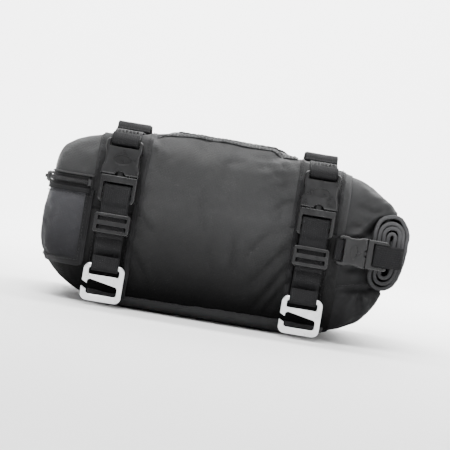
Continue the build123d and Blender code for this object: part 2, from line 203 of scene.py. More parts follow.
def cloth(name, dark, light, pitch=0.0014, rough=(0.6, 0.8), weave=0.85, gloss=0.26, low_painted_shade=0.98):
    """Woven cloth, worn pale on its edges, and darker low down as painted shade."""
    t = Shader(name)
    u, v = box_coords(t)
    wander = t.noise(scale=60.0, detail=2.0)
    u, v = (t.add(c, t.mul(wander, 0.0009)) for c in (u, v))
    threads = weave_height(t, u, v, pitch)
    fuzz = t.noise(scale=1500.0, detail=2.0, rough=0.6)
    mottle = t.noise(scale=22.0, detail=5.0, rough=0.6, distort=0.4)
    broad = t.noise(scale=5.5, detail=3.0, rough=0.5)
    height = t.split(t.pos)[2]

    color = t.mix(t.remap(broad, (0.35, 0.65)), dark, light)
    color = t.mix(t.remap(mottle, (0.48, 0.72)), color, shade(light, 1.45), amount=0.3)
    gaps = t.remap(threads, (0.0, 0.6), to=(1.0, 0.0))
    color = t.mix(gaps, color, shade(dark, 0.45), amount=0.42)
    wear = t.mul(t.edge((0.505, 0.56)), t.remap(mottle, (0.4, 0.65), to=(0.0, 0.55)))
    color = t.mix(wear, color, shade(light, 2.0))
    dust = t.remap(t.noise(scale=13.0, detail=6.0, rough=0.7), (0.55, 0.8))
    color = t.mix(dust, color, (0.26, 0.25, 0.23), amount=0.035)
    # painted shade: the colour darkens towards the bottom, standing in for shade low on the bag
    low = t.math("POWER", t.remap(height, (0.012, 0.1), to=(1.0, 0.0)), 0.72)
    color = t.mix(low, color, shade(dark, 0.1), amount=low_painted_shade)

    normal = t.bump(t.add(t.mul(threads, 0.8), t.mul(fuzz, 0.35)), strength=weave, depth=0.00028)
    normal = t.bump(t.noise(scale=90.0, rough=0.6), strength=0.22, depth=0.0009, normal=normal)
    normal = t.bump(t.noise(scale=28.0, detail=3.0, rough=0.5),
                    strength=0.25, depth=0.002, normal=normal)
    # painted shade too: sheen and specular fade towards the bottom
    return t.finish(color, t.remap(t.add(mottle, t.mul(fuzz, 0.3)), (0.35, 0.95), to=rough),
                    normal, Sheen_Weight=t.remap(height, (0.02, 0.1), to=(0.0, 0.02)),
                    Sheen_Roughness=0.5,
                    Specular_IOR_Level=t.remap(height, (0.02, 0.1), to=(gloss * 0.05, gloss)))


def webbing(name, dark=(0.005, 0.005, 0.0054), light=(0.013, 0.013, 0.014), rib=0.0015):
    """Woven strap with cross ribs in offset columns, on the mesh's own wuv coordinates."""
    column_pitch = 0.0019
    t = Shader(name)
    wuv = t.split(t.node("Attribute", attribute_name="wuv").outputs["Vector"])
    wander = t.mul(t.noise(scale=220.0, detail=2.0), 0.0005)
    column = t.math("SINE", t.mul(wuv[1], pi / column_pitch))
    shift = t.mul(t.over(column, 0.0), rib * 0.5)
    along = t.add(t.add(wuv[0], shift), wander)
    ribs = t.math("ABSOLUTE", t.math("SINE", t.mul(along, pi / rib)))
    columns = t.math("ABSOLUTE", column)
    threads = t.mul(t.math("POWER", ribs, 0.6), t.math("POWER", columns, 0.35))
    fuzz = t.noise(scale=1800.0, detail=2.0, rough=0.7)
    mottle = t.noise(scale=45.0, rough=0.6)
    color = t.mix(t.remap(threads, (0.1, 0.95)), shade(dark, 0.4), light)
    color = t.mix(t.remap(mottle, (0.4, 0.7)), color, dark, amount=0.35)
    color = t.mix(t.remap(fuzz, (0.6, 0.8)), color, shade(light, 2.6), amount=0.3)
    normal = t.bump(t.add(threads, t.mul(fuzz, 0.3)), strength=0.75, depth=0.0004)
    return t.finish(color, t.remap(mottle, (0.3, 0.7), to=(0.55, 0.75)), normal,
                    Sheen_Weight=0.0, Specular_IOR_Level=0.13)


def plastic(name, base=(0.0055, 0.0055, 0.0058), rough=0.31, grain=0.3):
    """Moulded plastic with a fine grain, rubbed edges and hairline scratches."""
    t = Shader(name)
    fine = t.noise(scale=2600.0, detail=3.0, rough=0.6)
    mottle = t.noise(scale=120.0, rough=0.6)
    scratches = t.noise(scale=1.0, detail=2.0, rough=0.7,
                        vector=t.stretched((240, 900, 90), Rotation=(0.4, 0.2, 0.7)))
    color = t.mix(t.remap(mottle, (0.35, 0.7)), base, shade(base, 1.6))
    color = t.mix(t.edge((0.52, 0.62)), color, shade(base, 4.0), amount=0.25)
    color = t.mix(t.remap(scratches, (0.66, 0.74)), color, shade(base, 4.0), amount=0.25)
    roughness = t.add(t.remap(mottle, (0.3, 0.75), to=(rough - 0.06, rough + 0.1)),
                      t.mul(t.remap(scratches, (0.62, 0.72)), 0.12))
    normal = t.bump(fine, strength=grain, depth=0.00006, normal=t.soft_edges(0.00045))
    normal = t.bump(scratches, strength=0.12, depth=0.0001, normal=normal)
    return t.finish(color, roughness, normal, Specular_IOR_Level=0.42)


def alloy(name):
    """Brushed bright aluminium with hairlines and small dark dings."""
    t = Shader(name)
    hairlines = t.noise(scale=1.0, detail=3.0, rough=0.7, vector=t.stretched((60, 400, 2200)))
    mottle = t.noise(scale=140.0, detail=5.0, rough=0.6)
    dings = t.voronoi(420.0, "F1", (0.0, 0.16), to=(1.0, 0.0))
    color = t.mix(t.remap(mottle, (0.35, 0.7)), (0.74, 0.75, 0.76), (0.90, 0.90, 0.91))
    color = t.mix(dings, color, (0.42, 0.42, 0.43), amount=0.25)
    roughness = t.add(t.remap(mottle, (0.3, 0.7), to=(0.2, 0.36)), t.mul(hairlines, 0.1))
    normal = t.bump(hairlines, strength=0.12, depth=0.00008, normal=t.soft_edges(0.0006))
    normal = t.bump(dings, strength=0.2, depth=0.0001, normal=normal)
    return t.finish(color, roughness, normal, Metallic=1.0)


def rubber(name, base=(0.007, 0.007, 0.0075)):
    """Matt rubber with a fine cell texture and soft dust."""
    t = Shader(name)
    pits = t.voronoi(900.0, "DISTANCE_TO_EDGE", (0.0, 0.15))
    mottle = t.noise(scale=35.0, detail=5.0, rough=0.65)
    color = t.mix(t.remap(mottle, (0.35, 0.7)), base, shade(base, 2.1))
    dust = t.remap(t.noise(scale=14.0, detail=6.0, rough=0.7), (0.55, 0.8))
    color = t.mix(dust, color, (0.10, 0.095, 0.09), amount=0.10)
    normal = t.bump(pits, strength=0.35, depth=0.00015)
    normal = t.bump(mottle, strength=0.15, depth=0.0006, normal=normal)
    return t.finish(color, t.remap(mottle, (0.3, 0.75), to=(0.68, 0.9)), normal,
                    Specular_IOR_Level=0.3)


def film(name):
    """White satin liner film, finely crinkled."""
    t = Shader(name)
    crinkles = t.voronoi(70.0, "DISTANCE_TO_EDGE", (0.0, 0.12))
    mottle = t.noise(scale=60.0, detail=5.0, rough=0.6, distort=0.6)
    color = t.mix(t.remap(mottle, (0.35, 0.7)), (0.62, 0.64, 0.65), (0.78, 0.79, 0.8))
    normal = t.bump(crinkles, strength=0.25, depth=0.0006)
    normal = t.bump(mottle, strength=0.3, depth=0.0012, normal=normal)
    return t.finish(color, t.remap(mottle, (0.3, 0.7), to=(0.32, 0.5)), normal,
                    Subsurface_Weight=0.05)


def thread(name, color):
    """Twisted sewing thread."""
    t = Shader(name)
    twist = t.node("TexWave", {"Vector": t.pos, "Scale": 1400.0},
                   wave_type="BANDS", bands_direction="DIAGONAL").outputs["Fac"]
    return t.finish(t.mix(twist, shade(color, 0.55), shade(color, 1.3)),
                    t.remap(t.noise(scale=300.0), (0.3, 0.7), to=(0.4, 0.6)),
                    t.bump(twist, strength=0.5, depth=0.0001), Specular_IOR_Level=0.2)


def black_metal(name):
    """Satin black coat on metal, worn through at the edges."""
    t = Shader(name)
    mottle = t.noise(scale=260.0, detail=5.0, rough=0.65)
    wear = t.mul(t.edge((0.52, 0.6)), t.remap(mottle, (0.45, 0.6)))
    color = t.mix(t.remap(mottle, (0.35, 0.7)), (0.012, 0.012, 0.013), (0.022, 0.022, 0.023))
    color = t.mix(wear, color, (0.22, 0.215, 0.205), amount=0.5)
    return t.finish(color, t.remap(mottle, (0.3, 0.7), to=(0.28, 0.45)),
                    t.bump(mottle, strength=0.1, depth=0.0001),
                    Metallic=t.add(0.15, t.mul(wear, 0.3)))


# cloths take a dark and a light colour
MAT = {
    "shell": cloth("shell_cloth", (0.0215, 0.0217, 0.0222), (0.030, 0.0302, 0.031)),
    "panel": cloth("panel_cloth", (0.034, 0.034, 0.038), (0.045, 0.045, 0.050)),
    "patch": cloth("patch_cloth", (0.0095, 0.0095, 0.0099), (0.0150, 0.0150, 0.0156),
                   pitch=0.001, gloss=0.18),
    "collar": cloth("collar_cloth", (0.0165, 0.0167, 0.0174), (0.0245, 0.0247, 0.0256),
                    pitch=0.001, weave=0.5, low_painted_shade=0.55),
    # coat: a lighter version of the collar cloth, painted light for the roll's shaded lap edges
    "coat": cloth("roll_lap_edge_painted_light_cloth", (0.031, 0.031, 0.0325), (0.044, 0.044, 0.046),
                  pitch=0.001, weave=0.3, low_painted_shade=0.4),
    "tape": cloth("zip_tape_cloth", (0.0045, 0.0045, 0.0047), (0.0085, 0.0085, 0.009),
                  pitch=0.0008, rough=(0.45, 0.65), gloss=0.15),
    "bind": webbing("binding_tape", (0.006, 0.006, 0.0063), (0.014, 0.014, 0.015), rib=0.001),
    "web": webbing("strap_webbing"),
    "acetal": plastic("acetal_black"),
    "strip": plastic("strip_plastic", (0.02, 0.02, 0.021), rough=0.45),
    "zipcoil": plastic("zip_coil_plastic", (0.007, 0.007, 0.0074), rough=0.36, grain=0.2),
    "alloy": alloy("hook_alloy_tumbled"),
    "rubber": rubber("base_rubber_grip"),
    "grip": rubber("grip_rubber_moulded", (0.0085, 0.0085, 0.009)),
    "film": film("liner_white_film"),
    "thread": thread("seam_thread", (0.014, 0.014, 0.015)),
    "tack": thread("tack_thread", (0.0075, 0.0075, 0.008)),
    "zipmetal": black_metal("zip_metal_black"),
}


# ---------------------------------------------------------------- numbers and curves
def lerp(a, b, t):
    return a + (b - a) * t


def clamp(value, low, high):
    return min(max(value, low), high)


def smooth(a, b, x):
    """Smooth step from 0 at a to 1 at b."""
    t = clamp((x - a) / (b - a), 0.0, 1.0)
    return t * t * (3 - 2 * t)


def spread(a, b, n):
    return [a + (b - a) * i / (n - 1) for i in range(n)]


def fbm(p, scale, seed=0.0, octaves=4):
    offset = vec(seed, seed * 0.7, -seed)
    return noise.fractal(Vector(p) * scale + offset, 0.9, 2.0, octaves)


def pchip(xs, ys):
    """A curve through the points that never overshoots them."""
    xs, ys = np.array(xs, float), np.array(ys, float)
    h = np.diff(xs)
    slope = np.diff(ys) / h
    m = np.zeros(len(xs))
    for i in range(1, len(xs) - 1):
        if slope[i - 1] * slope[i] > 0:
            w1, w2 = 2 * h[i] + h[i - 1], h[i] + 2 * h[i - 1]
            m[i] = (w1 + w2) / (w1 / slope[i - 1] + w2 / slope[i])
    m[0], m[-1] = slope[0], slope[-1]

    def curve(x):
        i = int(np.clip(np.searchsorted(xs, x) - 1, 0, len(h) - 1))
        t = clamp((x - xs[i]) / h[i], 0.0, 1.0)
        return ((1 + 2 * t) * (1 - t) ** 2 * ys[i] + t * (1 - t) ** 2 * h[i] * m[i]
                + t * t * (3 - 2 * t) * ys[i + 1] + t * t * (t - 1) * h[i] * m[i + 1])
    return curve


def segment_distance(x, z, a, b):
    """Distance to the segment a-b in the (x, z) plane, and the share along it."""
    dx, dz = b[0] - a[0], b[1] - a[1]
    t = clamp(((x - a[0]) * dx + (z - a[1]) * dz) / (dx * dx + dz * dz), 0.0, 1.0)
    return hypot(x - a[0] - dx * t, z - a[1] - dz * t), t


def lengths(points):
    """Running length at each point of a path."""
    dist = [0.0]
    for a, b in zip(points[:-1], points[1:]):
        dist.append(dist[-1] + (b - a).length)
    return dist


def locate(dist, s):
    """The piece of a path that holds length s, and the share along that piece."""
    k = clamp(bisect.bisect_left(dist, s) - 1, 0, len(dist) - 2)
    return k, clamp((s - dist[k]) / max(dist[k + 1] - dist[k], 1e-9), 0.0, 1.0)


def resample(points, step):
    dist = lengths(points)
    n = max(2, int(round(dist[-1] / step)) + 1)
    out = []
    for i in range(n):
        k, t = locate(dist, dist[-1] * i / (n - 1))
        out.append(points[k] + (points[k + 1] - points[k]) * t)
    return out


def round_path(points, radius, step):
    """Rounds each corner of a polyline with a short curve, then samples it evenly."""
    out = [points[0]]
    for a, b, c in zip(points[:-2], points[1:-1], points[2:]):
        cut = min(radius, 0.48 * (b - a).length, 0.48 * (c - b).length)
        p, q = b + (a - b).normalized() * cut, b + (c - b).normalized() * cut
        for i in range(7):
            t = i / 6
            out.append(p * (1 - t) ** 2 + b * 2 * t * (1 - t) + q * t * t)
    out.append(points[-1])
    return resample(out, step)


def point_and_normal(points, normals, dist, s):
    k, t = locate(dist, s)
    return points[k].lerp(points[k + 1], t), normals[k].lerp(normals[k + 1], t).normalized()


def smooth_normals(normals, reach):
    return [sum(normals[max(0, i - reach):i + reach + 1], Vector()).normalized()
            for i in range(len(normals))]


# ---------------------------------------------------------------- mesh helpers
def add_mesh(name, points, faces, material, smooth_faces=True, unit=MM):
    mesh = bpy.data.meshes.new(name)
    mesh.from_pydata([tuple(p * unit) for p in points], [], faces)
    mesh.validate()
    mesh.update()
    o = bpy.data.objects.new(name, mesh)
    SCENE.collection.objects.link(o)
    mesh.materials.append(material)
    if smooth_faces:
        mesh.polygons.foreach_set("use_smooth", [True] * len(mesh.polygons))
    return o


def quad_faces(rows, n, start=0, closed=True):
    """Quads between rows of n points each."""
    faces = []
    for i in range(rows - 1):
        for j in range(n if closed else n - 1):
            a, b = start + i * n + j, start + i * n + (j + 1) % n
            faces.append((a, b, b + n, a + n))
    return faces


def tube_faces(rings, n, start=0, first_back=False):
    """Quads round a tube and a cap at each end, one of them wound backwards."""
    first = tuple(range(start, start + n))
    last = tuple(i + (rings - 1) * n for i in first)
    caps = [first[::-1], last] if first_back else [first, last[::-1]]
    return quad_faces(rings, n, start) + caps


def grid_mesh(name, rows, material, closed=True, centre=None):
    """Rows of points to a mesh; a centre point closes the first row."""
    n = len(rows[0])
    points = [p for row in rows for p in row]
    faces = quad_faces(len(rows), n, closed=closed)
    if centre is not None:
        faces += [(len(points), (j + 1) % n, j) for j in range(n)]
        points.append(centre)
    return add_mesh(name, points, faces, material)


def capped_tube(name, rings, material):
    points = [p for ring in rings for p in ring]
    return outward(add_mesh(name, points, tube_faces(len(rings), len(rings[0])), material))


def outward(o):
    bm = bmesh.new()
    bm.from_mesh(o.data)
    bmesh.ops.recalc_face_normals(bm, faces=bm.faces)
    bm.to_mesh(o.data)
    bm.free()
    return o


def face_away(o, centre=(0.0, 0.0, 0.08)):
    """Turns an open sheet's faces away from a centre, in metres."""
    centre = Vector(centre)
    if sum(1 if f.normal.dot(f.center - centre) > 0 else -1 for f in o.data.polygons) < 0:
        o.data.flip_normals()


def apply_modifiers(o):
    depsgraph = bpy.context.evaluated_depsgraph_get()
    mesh = bpy.data.meshes.new_from_object(
        o.evaluated_get(depsgraph), preserve_all_data_layers=True, depsgraph=depsgraph)
    old = o.data
    o.modifiers.clear()
    o.data = mesh
    mesh.name = o.name
    bpy.data.meshes.remove(old)
    return o


def subdivide(o):
    mod = o.modifiers.new("sub", "SUBSURF")
    mod.levels = mod.render_levels = 1
    return apply_modifiers(o)


def thicken(o, thickness):
    """Adds thickness inwards."""
    mod = o.modifiers.new("solid", "SOLIDIFY")
    mod.thickness = thickness * MM
    mod.offset = -1.0
    mod.use_rim = True
    return apply_modifiers(o)


def run_cloth(o, pins, pressure, max_move, frames, bend, tension, keep=None):
    """Puffs a piece as sewn cloth. Pins are weights per vertex; slack lets it crease."""
    slack = 0.022
    rest = np.array([v.co for v in o.data.vertices], float)
    group = o.vertex_groups.new(name="pin")
    for i, weight in enumerate(pins):
        if weight > 0.001:
            group.add([i], float(min(1.0, weight)), "REPLACE")
    mod = o.modifiers.new("Cloth", "CLOTH")
    s = mod.settings
    s.quality = 7
    s.mass = 0.25
    s.tension_stiffness = s.compression_stiffness = tension
    s.shear_stiffness = tension * 0.5
    s.bending_stiffness = bend
    s.tension_damping = s.compression_damping = s.shear_damping = 8.0
    s.air_damping = 2.0
    s.use_pressure = True
    s.uniform_pressure_force = pressure
    s.shrink_min = s.shrink_max = -slack
    s.vertex_group_mass = "pin"
    s.pin_stiffness = 40.0
    s.effector_weights.gravity = 0.0
    mod.collision_settings.use_collision = False
    mod.collision_settings.use_self_collision = False
    mod.point_cache.frame_start, mod.point_cache.frame_end = 1, frames
    SCENE.frame_start, SCENE.frame_end = 1, frames
    for f in range(1, frames + 1):
        SCENE.frame_set(f)
    puffed = o.evaluated_get(bpy.context.evaluated_depsgraph_get())
    got = np.array([v.co for v in puffed.data.vertices], float)
    o.modifiers.clear()
    o.vertex_groups.clear()
    SCENE.frame_set(1)
    if len(got) != len(rest) or not np.isfinite(got).all():
        return
    # movement levels off towards the limit
    move = got - rest
    size = np.linalg.norm(move, axis=1)
    limit = max_move * MM
    gain = limit * np.tanh(size / limit) / np.maximum(size, 1e-9)
    new = rest + move * gain[:, None]
    if keep is not None:
        new = keep(new)
    o.data.vertices.foreach_set("co", new.astype(np.float32).ravel())
    o.data.update()


# ---------------------------------------------------------------- cross-sections
# points on each flat bottom or top, each corner and each side of a ring
N_FLAT, N_CORNER, N_SIDE = 28, 9, 26
RING = 2 * N_FLAT + 2 * N_SIDE + 4 * N_CORNER
# ring places where the left side, the top and the right side start
J_LEFT = N_FLAT + N_CORNER
J_TOP = J_LEFT + N_SIDE + N_CORNER
J_RIGHT = J_TOP + N_FLAT + N_CORNER

# x, half width, bottom, top, lower corner radius, upper corner radius
STATIONS = [
    (FACE_X, 82.0, 42.0, 128.0, 24.0, 22.0),
    (-149.5, 87.5, 36.0, 134.0, 26.0, 24.0),
    (-144.0, 93.0, 29.5, 140.0, 28.0, 26.0),
    (-134.0, 97.0, 20.0, 146.5, 30.0, 28.0),
    (-120.0, 99.3, 11.5, 151.5, 30.0, 28.0),
    (-106.0, 99.4, 6.0, 155.0, 30.0, 27.0),
    (-90.0, 99.0, 2.4, 156.6, 29.0, 26.5),
    (-73.0, 100.2, 2.2, 159.0, 29.0, 28.0),
    (-40.0, 102.0, 2.2, 162.4, 30.0, 31.0),
    (0.0, 102.4, 2.2, 163.4, 30.0, 32.0),
    (40.0, 102.0, 2.2, 162.4, 30.0, 31.0),
    (73.0, 100.2, 2.2, 159.0, 29.0, 28.0),
    (90.0, 99.0, 2.6, 156.6, 29.0, 26.5),
    (104.0, 98.6, 4.0, 156.0, 30.0, 27.0),
    (MOUTH_X, 97.2, 8.0, 153.8, 32.0, 29.0),
]
STATION_X, *STATION_SIZES = zip(*STATIONS)
STATION_CURVES = [pchip(STATION_X, sizes) for sizes in STATION_SIZES]


def station(x):
    return [curve(x) for curve in STATION_CURVES]


def ring(half, z0, z1, r_low, r_top):
    """Rounded rectangle in (y, z), anticlockwise from +X, from the bottom's -Y end."""
    r_low, r_top = min(r_low, (z1 - z0) / 2 - 0.5), min(r_top, (z1 - z0) / 2 - 0.5)
    out = []

    def line(a, b, n):
        for i in range(n):
            out.append((lerp(a[0], b[0], i / n), lerp(a[1], b[1], i / n)))

    def corner(y, z, r, start):
        for i in range(N_CORNER):
            a = radians(start + 90 * i / N_CORNER)
            out.append((y + r * cos(a), z + r * sin(a)))

    line((-half + r_low, z0), (half - r_low, z0), N_FLAT)
    corner(half - r_low, z0 + r_low, r_low, -90)
    line((half, z0 + r_low), (half, z1 - r_top), N_SIDE)
    corner(half - r_top, z1 - r_top, r_top, 0)
    line((half - r_top, z1), (-half + r_top, z1), N_FLAT)
    corner(-half + r_top, z1 - r_top, r_top, 90)
    line((-half, z1 - r_top), (-half, z0 + r_low), N_SIDE)
    corner(-half + r_low, z0 + r_low, r_low, 180)
    return out


def tube_rows(x0, x1, step, d=0.0):
    """Rings along the bag, grown by d."""
    n = max(1, int(round((x1 - x0) / step)))
    rows = []
    for i in range(n + 1):
        x = x0 + (x1 - x0) * i / n
        half, z0, z1, r_low, r_top = station(x)
        outline = ring(half + d, z0 - d, z1 + d, max(r_low + d, 3), max(r_top + d, 3))
        rows.append([vec(x, y, z) for y, z in outline])
    return rows


def cap_rows(first, x_end, n):
    """Rings growing from near a domed centre out to the first ring, and that centre."""
    c = sum(first, Vector()) / len(first)
    rows = []
    for i in range(n, 0, -1):
        s = 1 - i / (n + 0.6)
        bulge = (1 - s ** 3) * (x_end - first[0].x)
        rows.append([vec(p.x + bulge, c.y + (p.y - c.y) * s, c.z + (p.z - c.z) * s)
                     for p in first])
    return rows, vec(x_end, c.y, c.z)


# ---------------------------------------------------------------- the main shell
SHELL_FLOOR = 2.05      # lowest height the cloth may sink to

tube = tube_rows(FACE_X, MOUTH_X, step=3.5)
caps, cap_centre = cap_rows(tube[0], FACE_X - 0.4, 13)
shell = grid_mesh("shell", caps + tube, MAT["shell"], centre=cap_centre)
outward(shell)


def shell_pin(p):
    """How firmly the shell is held at the straps, underside, mouth, zip and rear end."""
    x, _, z = p
    hold = 0.0
    if z > 14:
        hold = 1 - smooth(12.5, 20.0, min(abs(x - STRAP_X), abs(x + STRAP_X)))
    hold = max(hold, 1 - (smooth(3.5, 12.0, z) if abs(x) < 112 else smooth(12, 24, z)))
    hold = max(hold, smooth(110.0, 116.0, x))
    if x < -110:
        zip_hold = (1 - smooth(6.0, 13.0, abs(z - ZIP_Z))) * smooth(-108, -114, x)
        hold = max(hold, zip_hold, 0.25)
    return hold


def keep_above_floor(new):
    new[:, 2] = np.maximum(new[:, 2] / MM, SHELL_FLOOR) * MM
    return new


def snapshot(o):
    """Places and normals before any vertex moves."""
    return [(v.co.copy(), v.normal.copy()) for v in o.data.vertices]


# small starting creases for the cloth to grow from
for v, (co, normal) in zip(shell.data.vertices, snapshot(shell)):
    p = co / MM
    wave = fbm((p.x, p.y * 0.6, p.z * 1.4), 0.035, 3.0, 3)
    v.co = co + normal * (0.9 * wave * (1 - shell_pin(p))) * MM
run_cloth(shell, [shell_pin(v.co / MM) for v in shell.data.vertices], pressure=1.1,
          max_move=4.6, frames=20, bend=0.35, tension=14.0, keep=keep_above_floor)

# flank creases: start and end (x, z), width, depth
CREASES = [
    # upper front, running back from the front strap
    ((72, 153), (30, 147), 2.5, 2.6), ((70, 146), (36, 137), 2.7, 2.3),
    ((68, 137), (46, 128), 2.8, 1.5), ((66, 158), (18, 155), 2.6, 1.7),
    ((68, 120), (50, 111), 3.0, 1.2), ((20, 150), (-2, 143), 3.2, 1.2),
    # the long diagonals low at the front
    ((74, 64), (40, 16), 3.4, 2.2), ((75, 50), (52, 14), 3.0, 1.7),
    ((72, 84), (34, 34), 4.2, 1.2),
    # ahead of the rear strap
    ((-72, 150), (-44, 142), 2.6, 1.1), ((-72, 60), (-48, 22), 3.4, 1.3),
    ((-71, 92), (-52, 70), 3.6, 0.8),
    # upper rear, behind the rear strap
    ((-106, 148), (-130, 138), 2.4, 1.2), ((-106, 140), (-124, 127), 2.2, 1.0),
    ((-107, 131), (-128, 121), 2.2, 0.8),
    # middle
    ((-14, 118), (-10, 80), 4.2, 1.1), ((20, 82), (24, 50), 3.8, 1.5),
    ((0, 72), (8, 44), 4.0, 1.0), ((34, 66), (52, 92), 3.6, 1.1),
    # ahead of the front strap
    ((104, 146), (116, 132), 2.4, 1.3), ((104, 60), (117, 44), 2.6, 1.4),
    ((104, 36), (116, 30), 2.6, 1.2),
]


def crease(x, z, a, b, width, depth):
    """A soft groove from a to b with a raised lip along it, fading at its ends."""
    distance, t = segment_distance(x, z, a, b)
    fade = sin(pi * (t * 0.9 + 0.05)) ** 0.6
    k = distance / width
    return -depth * fade * exp(-k * k) + 0.55 * depth * fade * exp(-((k - 1.7) ** 2) * 1.4)


def creases_at(p, reach, width_gain, depth_gain):
    """All flank creases near a point; the left flank's are shifted from the right's."""
    left = p.y > 0
    x = p.x + (5 if left else 0)
    z = p.z + 4.0 * fbm((p.x, 0, p.z), 0.03, 11.0 if left else 4.0, 2)
    return sum(crease(x, z, a, b, width * width_gain, depth * depth_gain)
               for a, b, width, depth in CREASES if abs(p.x - (a[0] + b[0]) / 2) < reach)


shell.data.update()
for v, (co, normal) in zip(shell.data.vertices, snapshot(shell)):
    p = co / MM
    if p.z < 5 and abs(normal.z) > 0.8:
        continue
    d = 0.0
    flank = abs(normal.y)
    if flank > 0.15:
        d = creases_at(p, reach=34, width_gain=1.0, depth_gain=1.55)
        d *= flank * (0.75 if p.y > 0 else 1.0)
    free = 1 - 0.85 * shell_pin(p)
    d += 0.95 * fbm((p.x, p.y * 1.1, p.z), 0.045, 21.0, 4) * free
    d += 1.3 * fbm((p.x, p.y, p.z), 0.016, 31.0, 3) * free
    if normal.z > 0.5:
        # shallow ripples across the top, near the straps
        near = exp(-((abs(p.x) - 66) / 12) ** 2)
        ripple = sin(p.y / 9.0 + 2.2 * fbm((p.x, p.y, 0), 0.02, 5.0, 2))
        d += 0.7 * near * ripple * (0.6 + 0.4 * sin(p.x / 7.0))
    v.co = (p + normal * d) * MM
shell.data.update()

# the finished shell as rings of points, without the cap's centre
GRID = np.array([v.co for v in shell.data.vertices], float)[:-1].reshape(-1, RING, 3) / MM


def surf(x, j):
    """A point on the shell: x along the bag, j round its ring."""
    x0, x1 = tube[0][0].x, tube[-1][0].x
    row = clamp(len(caps) + (x - x0) / (x1 - x0) * (len(tube) - 1), 0.0, len(GRID) - 1.001)
    i0, j0 = int(row), int(j // 1)
    ti, tj = row - i0, j - j0
    j0 %= RING
    j1 = (j0 + 1) % RING
    a = GRID[i0, j0] * (1 - tj) + GRID[i0, j1] * tj
    b = GRID[i0 + 1, j0] * (1 - tj) + GRID[i0 + 1, j1] * tj
    return Vector(a * (1 - ti) + b * ti)


def surf_normal(x, j):
    along = surf(x + 1.2, j) - surf(x - 1.2, j)
    n = along.cross(surf(x, j + 0.4) - surf(x, j - 0.4)).normalized()
    p = surf(x, j)
    return -n if n.dot(vec(0, p.y, p.z - 80)) < 0 else n


def lifted(places, lift):
    """Points raised off the shell at (x, j) places, and their normals."""
    normals = [surf_normal(x, j) for x, j in places]
    return [surf(x, j) + n * lift for (x, j), n in zip(places, normals)], normals


def j_side(x, z, sy):
    """The ring place at height z on one flank."""
    _, z0, z1, r_low, r_top = station(x)
    t = clamp((z - z0 - r_low) / (z1 - r_top - z0 - r_low), -0.35, 1.3)
    return J_LEFT + N_SIDE * t if sy > 0 else J_RIGHT + N_SIDE * (1 - t)


def patch(name, xs, ring_places, material, lift, thickness):
    """A second layer on the shell with its edges turned down; ring_places gives js at x."""
    rows = []
    for a, x in enumerate(xs):
        js = ring_places(x)
        row = []
        for b, j in enumerate(js):
            edge = min(a, len(xs) - 1 - a, b, len(js) - 1 - b)
            share = {0: 0.45, 1: 0.85}.get(edge, 1.0)
            row.append(surf(x, j) + surf_normal(x, j) * (lift * share))
        rows.append(row)
    o = grid_mesh(name, rows, material, closed=False)
    face_away(o)
    return thicken(o, thickness)


# ---------------------------------------------------------------- ribbons and threads
def path_frames(points, normals=None, across=None):
    """Normal and across vectors along a path."""
    out = []
    for i in range(len(points)):
        tangent = (points[min(i + 1, len(points) - 1)] - points[max(i - 1, 0)]).normalized()
        if across is not None:
            side = Vector(across).normalized()
            normal = tangent.cross(side).normalized()
        else:
            normal = (normals[i] - tangent * normals[i].dot(tangent)).normalized()
            side = normal.cross(tangent).normalized()
        out.append((normal, side))
    return out


def ribbon(name, points, width, thick, material, across=None, normals=None, wave=0.0, seed=0.0):
    """A woven strip with rolled edges. Its attribute wuv holds (length, width, height)."""
    half_w, half_t = width / 2, thick / 2
    cells = 8
    flat = [(-half_w + half_t + (width - thick) * i / cells,
             half_t * (0.90 + 0.10 * abs(2 * i / cells - 1) ** 3)) for i in range(cells + 1)]
    edge = [(half_w - half_t * 0.25, half_t * 0.72), (half_w, 0.0),
            (half_w - half_t * 0.25, -half_t * 0.72)]
    profile = flat + edge + [(b, -h) for b, h in flat[::-1]] + [(-b, -h) for b, h in edge]
    verts, wuv = [], []
    for p, (n, side), length in zip(points, path_frames(points, normals, across),
                                    lengths(points)):
        lift = wave * noise.noise(vec(length * 0.035, seed, 0.0))
        for b, h in profile:
            twist = wave * 0.6 * noise.noise(vec(length * 0.05, seed + 5, b * 0.05))
            verts.append(p + side * b + n * (h + lift + twist))
            wuv.append((length * MM, b * MM, h * MM))
    o = add_mesh(name, verts, tube_faces(len(points), len(profile)), material)
    attribute = o.data.attributes.new("wuv", "FLOAT_VECTOR", "POINT")
    attribute.data.foreach_set("vector", np.array(wuv, np.float32).ravel())
    return outward(o)


